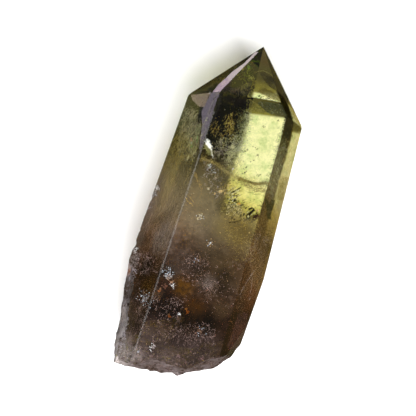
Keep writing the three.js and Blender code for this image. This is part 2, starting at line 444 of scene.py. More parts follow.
def smoky_zone(nodes):
    """The colour of the stone's faces and how clear they are: clear at the tip, smoky towards the break."""
    spot = nodes.stone_place()
    x, along, z = nodes.parts(spot)
    drift = nodes.times(nodes.minus(nodes.noise(spot, *FRONT_NOISE), 0.5), FRONT_WANDER)
    front = nodes.plus(nodes.times(x, FRONT_SLOPE), FRONT_ALONG)
    below = nodes.plus(nodes.minus(along, front), drift)
    share = nodes.math("DIVIDE", below, HAZE_LENGTH, clamp=True)
    colour = nodes.ramp(share, SMOKY_TONES)
    haze = nodes.ramp(share, SMOKY_HAZE)
    clouds = nodes.noise(spot, *CLOUD_NOISE)
    wisps = nodes.noise(spot, *WISP_NOISE)
    grain = nodes.noise(spot, *GRAIN_NOISE)
    lower = nodes.rise(share, *LOWER_SHARE)
    contrast = nodes.plus(nodes.times(lower, LOWER_CONTRAST), CONTRAST)
    for pattern, (low, high) in ((clouds, CLOUD_SHADES), (wisps, WISP_SHADES), (grain, GRAIN_SHADES)):
        shade = nodes.ramp(pattern, [(0.34, grey(low)), (0.64, grey(high))])
        colour = nodes.mix(contrast, colour, shade, "MULTIPLY")
    # lilac-grey wisps hang in the smoky part, in drifts
    drifts = nodes.times(nodes.rise(wisps, *DRIFT_WISPS), nodes.rise(clouds, *DRIFT_CLOUDS), lower)
    colour = nodes.mix(nodes.times(drifts, DRIFT_STRENGTH), colour, DRIFT_TONE)
    haze = nodes.plus(haze, nodes.times(drifts, DRIFT_HAZE))
    haze = nodes.math("MULTIPLY", haze, nodes.rise(below, *SMOKY_FROM), clamp=True)
    # the faces that look left are hazier, partly painted light that makes them lighter than the rest, and
    # there is a mauve-brown rim
    west = nodes.rise(nodes.looks(0), *LOOKS_LEFT)
    milk_and_light = nodes.plus(*(nodes.rise(along, *part) for part in LEFT_MILK_AND_LIGHT))
    haze = nodes.plus(haze, nodes.times(west, milk_and_light, nodes.rise(z, *LEFT_HAZE_ABOVE)))
    rim = nodes.times(
        nodes.rise(z, *RIM_BELOW),
        nodes.rise(x, *RIM_LEFT_OF),
        nodes.rise(along, *RIM_FROM),
        nodes.rise(wisps, *RIM_WISPS),
    )
    colour = nodes.mix(rim, colour, RIM_TONE)
    haze = nodes.plus(haze, nodes.times(rim, RIM_HAZE), clamp=True)
    for pixel, reach, tint, strength, added in PATCHES.values():
        mask = nodes.near(spot, surface_place(pixel), reach)
        mask = nodes.times(mask, nodes.rise(wisps, *PATCH_WISPS))
        colour = nodes.mix(nodes.times(mask, strength), colour, tint)
        haze = nodes.plus(haze, nodes.times(mask, added), clamp=True)
    colour = nodes.mix(nodes.rise(below, *TONED_FROM), grey(1.0), colour)
    colour = nodes.mix(nodes.rise(along, *SHOULDER), colour, SHOULDER_TINGE)
    colour = nodes.mix(nodes.rise(along, *POINT), colour, TIP_TINGE)
    # the right side is golden, and hazy in the middle of its length: partly the stone's colour, partly
    # painted shade and light on the faces that look right and up
    gold = nodes.ramp(nodes.math("DIVIDE", along, HAZE_LENGTH, clamp=True), GOLD_TONES)
    east = nodes.times(nodes.rise(nodes.looks(0), *LOOKS_RIGHT), nodes.rise(nodes.looks(2), *LOOKS_UP))
    golden = nodes.times(east, nodes.rise(wisps, *GOLD_WISPS))
    colour = nodes.mix(golden, colour, gold, "MULTIPLY")
    milk_and_light = nodes.plus(*(nodes.rise(along, *part) for part in RIGHT_MILK_AND_LIGHT))
    haze = nodes.plus(haze, nodes.times(east, milk_and_light), clamp=True)
    # the lower faces darken sooner, so that little light comes up through the smoky part
    dark = nodes.times(nodes.rise(z, *UNDERSIDE), nodes.rise(below, *DARK_BELOW_FROM))
    colour = nodes.mix(dark, colour, UNDERSIDE_TONE)
    return colour, nodes.minus(1.0, haze)


def lemon_body(nodes):
    """The lemon colour of the stone, as plain absorption."""
    absorption = nodes.add("VolumeAbsorption")
    nodes.feed(absorption.inputs["Color"], LEMON)
    nodes.feed(absorption.inputs["Density"], LEMON_DENSITY)
    nodes.feed(nodes.tree.nodes["Material Output"].inputs["Volume"], absorption.outputs[0])


def polished_quartz():
    material, nodes = new_material("polished_quartz")
    inputs = nodes.shader.inputs
    inputs["IOR"].default_value = QUARTZ_IOR
    inputs["Roughness"].default_value = 0.0
    colour, clearness = smoky_zone(nodes)
    nodes.feed(inputs["Base Color"], colour)
    nodes.feed(inputs["Transmission Weight"], clearness)
    lemon_body(nodes)
    return material


# the breaks: their noises as size in mm, detail, roughness and distortion, how rough they are, how strong
# and deep their relief is, and their tones, brown in the hollows and pale on the ridges
BREAK_PATCHES = (3.0, 5.0, 0.65, 0.4)
BREAK_SPECKS = (0.7, 4.0, 0.7)
BREAK_GRAIN = (0.5, 4.0, 0.6)
BREAK_CLEARNESS = 0.6
BREAK_ROUGHNESS = (0.3, 0.7, 0.15, 0.5)
RELIEF_STRENGTH = 0.6
RELIEF_DEPTH = 0.0003
BREAK_TONES = [(0.36, (0.075, 0.045, 0.038)), (0.50, (0.125, 0.086, 0.080)), (0.64, (0.20, 0.155, 0.155))]
BREAK_SHADES = [(0.36, (0.35, 0.32, 0.30)), (0.60, (1.5, 1.5, 1.55))]


def broken_quartz():
    """The rough breaks: frosted, with a fine splintered relief."""
    material, nodes = new_material("broken_quartz")
    inputs = nodes.shader.inputs
    inputs["Transmission Weight"].default_value = BREAK_CLEARNESS
    inputs["IOR"].default_value = QUARTZ_IOR
    spot = nodes.stone_place()
    patches = nodes.noise(spot, *BREAK_PATCHES)
    specks = nodes.noise(spot, *BREAK_SPECKS)
    colour = nodes.mix(1.0, nodes.ramp(patches, BREAK_TONES), nodes.ramp(specks, BREAK_SHADES), "MULTIPLY")
    for pixel, reach, tint in STAINS.values():
        stained = nodes.near(spot, surface_place(pixel), reach)
        mask = nodes.times(stained, nodes.rise(specks, *STAIN_SPECKS))
        colour = nodes.mix(mask, colour, tint)
    nodes.feed(inputs["Base Color"], colour)
    nodes.feed(inputs["Roughness"], nodes.rise(patches, *BREAK_ROUGHNESS))
    bump = nodes.add("Bump")
    bump.inputs["Strength"].default_value = RELIEF_STRENGTH
    bump.inputs["Distance"].default_value = RELIEF_DEPTH
    nodes.feed(bump.inputs["Height"], nodes.noise(spot, *BREAK_GRAIN))
    nodes.feed(inputs["Normal"], bump.outputs[0])
    lemon_body(nodes)
    return material


def fault_material(name, roughness, gloss=0.0):
    """Small faults in the stone, and flakes of painted shade, light and glints: each takes its own tone,
    with a fine mottle over it.
    """
    material, nodes = new_material(name)
    tone = nodes.add("Attribute", attribute_name="tone").outputs["Color"]
    mottle = nodes.ramp(nodes.noise(nodes.stone_place(), 0.3), [(0.3, grey(0.75)), (0.7, grey(1.0))])
    nodes.feed(nodes.shader.inputs["Base Color"], nodes.mix(1.0, tone, mottle, "MULTIPLY"))
    nodes.shader.inputs["Roughness"].default_value = roughness
    nodes.shader.inputs["Specular IOR Level"].default_value = gloss
    return material


def floor_material():
    material, nodes = new_material("floor")
    nodes.feed(nodes.shader.inputs["Base Color"], FLOOR_TONE)
    nodes.shader.inputs["Roughness"].default_value = 0.7
    return material


# the light pad, in mm: where it starts at x = 0, how much sooner it does for each mm of x, how soft its
# front is, where its left fades in and its far end fades out, and how ragged its left is
PAD_FRONT = 3.75
PAD_SLANT = 0.15
PAD_SOFTNESS = 0.35
PAD_LEFT = (1.1, 2.3)
PAD_END = (36.0, 29.0)
PAD_RAGGED = 3.0
PAD_RAGGED_END = 3.0  # how much more ragged its far end is than its left
# its noises, its mottled light, and the dim light round it, which is golden in one part
PAD_PATCHES = (3.0, 5.0, 0.65)
PAD_SPECKS = (0.9, 4.0, 0.7)
PAD_TONES = [(0.36, (0.78, 0.86, 0.66)), (0.50, (1.0, 1.0, 0.86)), (0.62, (1.12, 1.08, 1.0))]
PAD_GRAIN = [(0.36, (0.86, 0.88, 0.80)), (0.60, (1.06, 1.05, 1.04))]
DIM = (0.10, 0.09, 0.04)
DIM_GOLD = (0.27, 0.245, 0.075)
GOLD_START = (0.2, 2.6)
GOLD_END = (4.5, 4.0)
GOLD_RIGHT = (10.5, 6.5)


def pad_light(nodes):
    """The light pad: bright in its middle, fading out ragged along its left and towards the break."""
    spot = nodes.stone_place()
    x, along, _ = nodes.parts(spot)
    mottle = nodes.noise(spot, *PAD_PATCHES)
    ragged = nodes.times(nodes.minus(mottle, 0.5), PAD_RAGGED)
    across = nodes.rise(nodes.plus(x, ragged), *PAD_LEFT)
    slanting = nodes.plus(along, nodes.times(x, PAD_SLANT))
    forward = nodes.rise(slanting, PAD_FRONT - PAD_SOFTNESS, PAD_FRONT + PAD_SOFTNESS)
    lengthwise = nodes.rise(nodes.plus(along, nodes.times(ragged, PAD_RAGGED_END)), *PAD_END)
    fine = nodes.ramp(nodes.noise(spot, *PAD_SPECKS), PAD_GRAIN)
    light = nodes.mix(1.0, nodes.ramp(mottle, PAD_TONES), fine, "MULTIPLY")
    golden = nodes.times(
        nodes.rise(along, *GOLD_START),
        nodes.rise(x, *GOLD_RIGHT),
        nodes.rise(along, *GOLD_END),
    )
    dark = nodes.mix(golden, DIM, DIM_GOLD)
    return nodes.mix(nodes.times(across, forward, lengthwise), dark, light)


def glow_material(name, glow):
    """A card that shines by itself, in one colour or in what a function makes of the place on it."""
    material, nodes = new_material(name)
    emission = nodes.add("Emission")
    nodes.feed(emission.inputs["Color"], glow(nodes) if callable(glow) else glow)
    nodes.feed(nodes.tree.nodes["Material Output"].inputs["Surface"], emission.outputs[0])
    return material


# ---------------------------------------------------------------- the stone


def relief(point):
    """How far a point of a broken face is pushed in or out, in metres."""
    coarse = noise.noise(point * 420)
    fine = noise.noise(point * 1500)
    ridges = abs(noise.noise(point * 800)) - 0.25
    return (0.18 * coarse + 0.08 * fine - 0.16 * ridges) * MM


def polished(edge):
    """Whether both faces at an edge are polished and look up."""
    return all(face.material_index == 0 and face.normal.z > TOP_FACING for face in edge.link_faces)


def broken(element):
    """Whether all faces at an edge or vertex are broken ones."""
    return all(face.material_index == 1 for face in element.link_faces)


def refine_breaks(bm):
    """Divides the broken faces finely and roughens what lies between the polished faces."""
    for _ in range(BREAK_ROUNDS):
        long_edges = [e for e in bm.edges if e.calc_length() > BREAK_EDGE and broken(e)]
        bmesh.ops.subdivide_edges(bm, edges=long_edges, cuts=1, use_grid_fill=False)
        faces = [f for f in bm.faces if f.material_index == 1 and len(f.verts) > 3]
        bmesh.ops.triangulate(bm, faces=faces)
    bm.normal_update()
    moves = [(v, v.normal * relief(v.co)) for v in bm.verts if broken(v)]
    for vertex, move in moves:
        vertex.co += move


def long_edge(bm, limit=math.inf):
    """The long edge between the top and the left face, or its part whose y is below a limit."""
    edges = [e for e in bm.edges if polished(e) and all(v.co.y < limit for v in e.verts)]
    return min(edges, key=lambda e: sum(v.co.x for v in e.verts) - e.calc_length() * 100)


def ease_long_edge(bm):
    """Wears a narrow flat on the lower part of the long edge between the top and the left face."""
    edge = long_edge(bm)
    upper = max(edge.verts, key=lambda v: v.co.y)
    share = (upper.co.y - place(0, WORN_FROM, 0).y) / abs(edge.verts[0].co.y - edge.verts[1].co.y)
    bmesh.utils.edge_split(edge, upper, share)
    lower = long_edge(bm, place(0, WORN_FROM - 0.1, 0).y)
    bmesh.ops.bevel(
        bm, geom=[lower], offset=BEVEL, segments=1, affect="EDGES", clamp_overlap=False, material=0
    )


def dress_stone():
    """The CAD solid with its flat faces made whole, its edges eased and its breaks roughened."""
    bm = bmesh.new()
    bm.from_mesh(STONE.data)
    bm.transform(STONE.matrix_world)
    bmesh.ops.remove_doubles(bm, verts=bm.verts, dist=SAME_POINT)
    bmesh.ops.dissolve_limit(bm, angle_limit=math.radians(SAME_FACE), verts=bm.verts, edges=bm.edges)
    for face in bm.faces:
        face.material_index = 0 if face.calc_area() > POLISHED_AREA else 1
    ease_long_edge(bm)
    bmesh.ops.triangulate(bm, faces=[f for f in bm.faces if f.material_index == 1])
    refine_breaks(bm)
    for face in bm.faces:
        face.smooth = face.material_index == 1
    for edge in bm.edges:
        if len(edge.link_faces) == 2:
            edge.smooth = edge.calc_face_angle(0) < math.radians(EASED_ANGLE)
    mesh = bpy.data.meshes.new("crystal_skin")
    bm.to_mesh(mesh)
    bm.free()
    mesh.materials.append(polished_quartz())
    mesh.materials.append(broken_quartz())
    dress(add_object("crystal_skin", mesh))


# ---------------------------------------------------------------- faults inside the stone, and flakes of painted shade, light and glints

# a splinter is a small pyramid: its four corners, and its sides by their corners
CORNERS = np.array([(1, 1, 1), (1, -1, -1), (-1, 1, -1), (-1, -1, 1)], dtype=float) / math.sqrt(3)
SIDES = np.array([(0, 1, 2), (0, 3, 1), (0, 2, 3), (1, 3, 2)])

# its proportions, the directions it can lie along or face, and how far it strays from them
CHIP = (1.0, 0.8, 0.3)
NEEDLE = (1.0, 0.22, 0.15)
TO_BREAK = (0.0, -1.0, 0.0)  # along the stone
SLANTING = (-0.75, -0.6, 0.2)
UPWARD = (0.1, -0.35, 1.0)  # between the lights and the camera
UNEVEN = 0.35  # how far each corner of a splinter strays, as a share
ASTRAY = 0.2  # how far a splinter strays from its direction
TILTED = 0.15  # how far a flat splinter strays from facing up

# where splinters lie and how they are strewn
STONE_MARGIN = 0.0003  # how far behind the surface dust and clusters stay, in metres
LINE_MARGIN = 0.0001  # the same for streaks, threads and fills
WAVER = 0.3  # how far a streak's depth wavers, in mm
THREAD_STEP = 0.4  # from one splinter of a thread to the next, in pixels
THREAD_TURN = 8.0  # how far a thread's direction strays, in degrees
DRIFT_RISE = 22  # how far along the stone a drift takes to reach its full thickness, in mm
DRIFT_EDGE = 0.35  # how softly its clouds end
CLOUD_SCALES = (1, 2.7, 6.1)  # the noise of those clouds
PATCH_SCALES = (900, 2300)  # the noise that breaks a cluster up into ragged patches
PATCH_EDGE = (-0.5, 0.5)
LENGTHWISE = 109.0  # the direction of the stone in the picture, in degrees
CROSSWISE = -15.0  # the tilt of marks that lie across it

# ranges of depth behind the stone's surface, in mm: those that start at or above it lie in its skin, and
# those with a minus in front of both stand out of it
SKIN = (-0.04, 0.02)
SHALLOW = (0.3, 1.2)
BEHIND = (0.3, 1.5)
ON_SKIN = (-0.08, -0.08)
PROUD = (-0.14, -0.06)
DEEP = (3.0, 4.0)

# ranges of a splinter's half length, in mm
DUST = (0.04, 0.08)
SLIGHT = (0.04, 0.09)
THIN = (0.05, 0.1)
GRAIN = (0.05, 0.11)
FINE = (0.05, 0.13)
SMALL = (0.08, 0.22)
COARSE = (0.1, 0.3)

# tones of the marks
WHITE = (0.92, 0.92, 0.92)
BLUISH = (0.75, 0.85, 0.97)
LILAC = (0.66, 0.6, 0.68)
LILAC_GREY = (0.52, 0.44, 0.5)
PALE_LEAF = (0.93, 0.95, 0.86)
HIGHLIGHT_TONE = (0.74, 0.71, 0.46)
SAND = (0.85, 0.73, 0.44)
STRAW = (0.75, 0.6, 0.25)
BEIGE = (0.62, 0.52, 0.36)
SCRATCH = (0.4, 0.35, 0.32)
TAN = (0.5, 0.4, 0.16)
GOLD = (0.6, 0.45, 0.08)
RUST = (0.45, 0.12, 0.03)
MOSS = (0.1, 0.11, 0.03)
DARK_OLIVE = (0.045, 0.04, 0.01)
BLACK = (0.01, 0.007, 0.004)


def step(value, start, end):
    """0 before start, 1 after end, and an even rise between."""
    return min(max((value - start) / (end - start), 0), 1)


def cloudy(point, scales):
    """Noise about 0, each scale half as strong as the one before."""
    return sum(noise.noise(point * scale) * 0.5**octave for octave, scale in enumerate(scales))


def within(pixel, corners):
    """Whether a pixel lies in the shape with the given corners."""
    crossings = 0
    for (x1, y1), (x2, y2) in zip(corners, np.roll(corners, -1, axis=0)):
        if (y1 > pixel[1]) != (y2 > pixel[1]) and pixel[0] < x1 + (pixel[1] - y1) * (x2 - x1) / (y2 - y1):
            crossings += 1
    return crossings % 2 == 1


def fits(point, depth, margin=LINE_MARGIN):
    """Whether a splinter can lie at a point: in the skin if its depths start there, and else inside."""
    return point is not None and (depth[0] <= 0 or inside(point, margin))


def unit(vectors):
    return vectors / np.linalg.norm(vectors, axis=1)[:, None]


class Flakes:
    """Many small closed splinters, gathered into one mesh."""

    def __init__(self, seed):
        self.random = np.random.RandomState(seed)
        self.points = []
        self.tones = []

    def strayed(self, direction, stray, count):
        """Unit vectors about a direction."""
        return unit(np.asarray([direction], dtype=float) + self.random.normal(scale=stray, size=(count, 3)))

    def add(self, centres, size, tone, spread=0.25, shape=CHIP, lengthwise=None, flat=False):
        """Puts a splinter at each centre. `size` is the range of its half length, in mm."""
        centres = np.asarray([tuple(c) for c in centres], dtype=float)
        count = len(centres)
        if count == 0:
            return
        scale = self.random.uniform(*size, (count, 1, 1)) * MM
        turns = np.linalg.qr(self.random.normal(size=(count, 3, 3)))[0]
        if lengthwise is not None:
            first = self.strayed(lengthwise, ASTRAY, count)
            second = unit(np.cross(first, turns[:, 0]))
            turns = np.stack([first, second, np.cross(first, second)], axis=1)
        if flat:
            up = self.strayed(UPWARD, TILTED, count)
            second = unit(np.cross(up, turns[:, 0]))
            turns = np.stack([np.cross(second, up), second, up], axis=1)
        jitter = 1 + self.random.uniform(-UNEVEN, UNEVEN, (count, 4, 3))
        local = CORNERS[None] * jitter * np.asarray(shape)[None, None] * scale
        self.points.append(centres[:, None] + local @ turns)
        shade = 1 + self.random.uniform(-spread, spread, (count, 1))
        self.tones.append(np.clip(np.asarray(tone)[None] * shade, 0, 1))

    def cluster(self, centre, reach, depth, count, size, tone, tilt=0.0, patchy=1.2, **style):
        """Splinters in ragged patches behind an oval of the picture: its centre and half axes in pixels."""
        turn = math.radians(tilt)
        found = []
        for _ in range(count):
            across, down = self.random.normal(scale=0.5, size=2) * reach
            pixel = (
                centre[0] + across * math.cos(turn) - down * math.sin(turn),
                centre[1] + across * math.sin(turn) + down * math.cos(turn),
            )
            point = seen(pixel, self.random.uniform(*depth))
            if fits(point, depth, STONE_MARGIN):
                chance = step(cloudy(point, PATCH_SCALES) * patchy, *PATCH_EDGE)
                if self.random.uniform() < chance or patchy == 0:
                    found.append(point)
        self.add(found, size, tone, **style)

    def streak(self, route, width, depth, count, size, tone, **style):
        """Splinters along a line of the picture, given by its pixels; `depth` is in mm at its two ends."""
        stops = np.asarray(route, dtype=float)
        lengths = np.concatenate([[0], np.cumsum(np.linalg.norm(np.diff(stops, axis=0), axis=1))])
        found = []
        for _ in range(count):
            share = self.random.uniform()
            middle = [np.interp(share * lengths[-1], lengths, stops[:, axis]) for axis in (0, 1)]
            pixel = np.asarray(middle) + self.random.normal(scale=width / 2, size=2)
            deep = depth[0] + (depth[1] - depth[0]) * share + self.random.uniform(-WAVER, WAVER)
            found.append(seen(pixel, deep))
        self.add([p for p in found if fits(p, depth)], size, tone, **style)

    def threads(self, corners, depth, count, length, size, tone, bend=0.0, heading=None, **style):
        """Short threads of splinters behind a shape of the picture.

        `length` is the range of their lengths in pixels, `bend` how far they curl and `heading` their
        direction in the picture, both in degrees; without a heading they lie every way.
        """
        corners = np.asarray(corners, dtype=float)
        found = []
        for pixel in self.random.uniform(corners.min(axis=0), corners.max(axis=0), (count, 2)):
            reach = self.random.uniform(*length)
            deep = self.random.uniform(*depth)
            if heading is None:
                slope = self.random.uniform(0, 360)
            else:
                slope = heading + self.random.normal(scale=THREAD_TURN)
            steps = max(int(reach / THREAD_STEP), 2)
            turn = self.random.uniform(-bend, bend) / steps
            if not within(pixel, corners):
                continue
            for _ in range(steps):
                found.append(seen(pixel, deep))
                slope += turn
                angle = math.radians(slope)
                pixel = pixel + THREAD_STEP * np.array((math.cos(angle), math.sin(angle)))
        self.add([p for p in found if fits(p, depth)], size, tone, **style)

    def fill(self, corners, depth, count, size, tone, **style):
        """Splinters spread evenly behind a shape of the picture; `count` is for the box round it."""
        corners = np.asarray(corners, dtype=float)
        found = []
        for pixel in self.random.uniform(corners.min(axis=0), corners.max(axis=0), (count, 2)):
            point = seen(pixel, self.random.uniform(*depth)) if within(pixel, corners) else None
            if fits(point, depth):
                found.append(point)
        self.add(found, size, tone, **style)

    def anywhere(self, count):
        """Points anywhere in the stone's box."""
        return [Vector(point) for point in self.random.uniform(cad_low, cad_high, (count, 3))]

    def drift(self, tries, size, tone, start, cloud_size, cover):
        """Dust in drifting clouds, from `start` mm along the stone and thicker towards the break."""
        chosen = []
        for point in self.anywhere(tries):
            cloud = cloudy(point / (cloud_size * MM), CLOUD_SCALES)
            thicker = step(along_of(point), start, start + DRIFT_RISE)
            chance = thicker * step(cloud, -cover, DRIFT_EDGE - cover)
            if self.random.uniform() < chance and inside(point):
                chosen.append(point)
        self.add(chosen, size, tone)

    def lay(self, marks):
        """Lays the marks of a table, in their order."""
        for mark in marks.values():
            mark(self)

    def build(self, name, material):
        points = np.concatenate(self.points)
        tones = np.concatenate(self.tones)
        count = len(points)
        faces = (np.arange(count)[:, None, None] * 4 + SIDES[None]).reshape(-1, 3)
        mesh = bpy.data.meshes.new(name)
        mesh.from_pydata(points.reshape(-1, 3).tolist(), [], faces.tolist())
        colours = mesh.color_attributes.new("tone", "FLOAT_COLOR", "POINT")
        rgba = np.concatenate([np.repeat(tones, 4, axis=0), np.ones((count * 4, 1))], axis=1)
        colours.data.foreach_set("color", rgba.astype(np.float32).ravel())
        mesh.materials.append(material)
        dress(add_object(name, mesh))


# The tables of marks below hold calls of these methods of Flakes, to be made later. Places, widths and
# lengths are in pixels of the photograph, depths and sizes in mm, tilts, bends and headings in degrees:
#   cluster: centre, half axes, depth, count, size, tone, tilt
#   streak: route, width, depth, count, size, tone
#   threads: corners, depth, count, range of lengths, size, tone, bend, heading
#   fill: corners, depth, count, size, tone
cluster = partial(methodcaller, "cluster")
streak = partial(methodcaller, "streak")
threads = partial(methodcaller, "threads")
fill = partial(methodcaller, "fill")


def golden_needles(centre, reach, count):
    style = {"shape": NEEDLE, "lengthwise": TO_BREAK}
    return cluster(centre, reach, (1.5, 8), count, (0.06, 0.18), GOLD, 16, **style)


def sandy_needles(centre, reach, count):
    style = {"shape": NEEDLE, "lengthwise": TO_BREAK}
    return cluster(centre, reach, (0.6, 5), count, (0.08, 0.26), SAND, 16, **style)


def dark_needles(centre, reach, count):
    style = {"shape": NEEDLE, "lengthwise": SLANTING}
    return cluster(centre, reach, (0.6, 3), count, (0.25, 0.8), (0.1, 0.08, 0.02), -25, **style)


def golden_dust(centre, reach, count):
    return cluster(centre, reach, (0.6, 4), count, (0.06, 0.2), (0.36, 0.31, 0.09), -25, patchy=2.5)


# a painted highlight: a thin pale line beside a black stroke
def highlight_line(*route):
    return streak(route, 0.6, (-0.06, -0.06), 24, THIN, HIGHLIGHT_TONE, spread=0.2)


def olive_rim(*route):
    return streak(route, 3.5, (0.3, 1), 160, COARSE, DARK_OLIVE)


def dim_stripe(tone, *route):
    return streak(route, 6, BEHIND, 900, SMALL, tone)


# shapes and lines of the picture that more than one mark follows, given by their pixels
CROSSING = [(168, 163), (178, 158), (193, 156), (205, 159), (217, 164), (228, 173), (240, 180), (255, 184),
            (270, 183)]
LEFT_FACE = [(187, 108), (198, 110), (197, 130), (184, 160), (166, 166), (178, 132)]
LEFT_FACE_TOP = [(186, 108), (199, 110), (197, 126), (194, 140), (184, 158), (176, 148)]
LEFT_FACE_LOW = [(170, 164), (196, 158), (184, 196), (172, 236), (146, 246), (152, 204)]
BROKEN_SIDE = [(121, 285), (130, 264), (137, 268), (131, 300), (128, 330), (124, 352), (112, 358),
               (114, 330)]
BESIDE_PANEL = [(212, 206), (232, 192), (242, 200), (240, 212), (218, 214)]
OLIVE_PART = [(222, 216), (262, 218), (254, 262), (236, 262), (224, 240)]
HEART = [(264.4, 198.8), (266.6, 199.6), (269.6, 204), (271.4, 199.6), (275, 200), (273, 209), (270, 212),
         (266.4, 211)]
WISPY_PART = [(279, 124), (286, 140), (280, 176), (271, 198), (267, 190), (274, 160)]
SMOKY_SIDE = [(262, 200), (282, 200), (272, 246), (262, 278), (246, 308), (236, 306), (250, 262)]
GREEN_PART = [(257.5, 103), (262, 101.5), (281, 104), (284, 108), (288.5, 116), (277, 116), (268, 113.2),
              (262, 107.5)]
LONG_EDGE = [(217, 97), (212, 110), (207, 124), (202, 140), (196.5, 158), (190, 177), (184, 195),
             (178, 212)]

# the small black ring at the lower end of the bright panel: its centre and half axes
RING_CENTRE = (248.2, 216.4)
RING_REACH = (1.7, 2.3)
RING_TURNS = [2 * math.pi * turn / 12 for turn in range(13)]
RING = [
    (RING_CENTRE[0] + RING_REACH[0] * math.cos(turn), RING_CENTRE[1] + RING_REACH[1] * math.sin(turn))
    for turn in RING_TURNS
]

# clouds of dust: tries, size, tone, where they start along the stone, their size in mm and their cover
DRIFTS = {
    "mauve": (22000, (0.06, 0.18), (0.43, 0.28, 0.34), 34, 3.0, -0.05),
    "brown": (14000, (0.08, 0.20), (0.12, 0.08, 0.03), 20, 5.0, 0.1),
    "black": (60000, (0.10, 0.32), BLACK, 30, 3.2, 0.0),
}
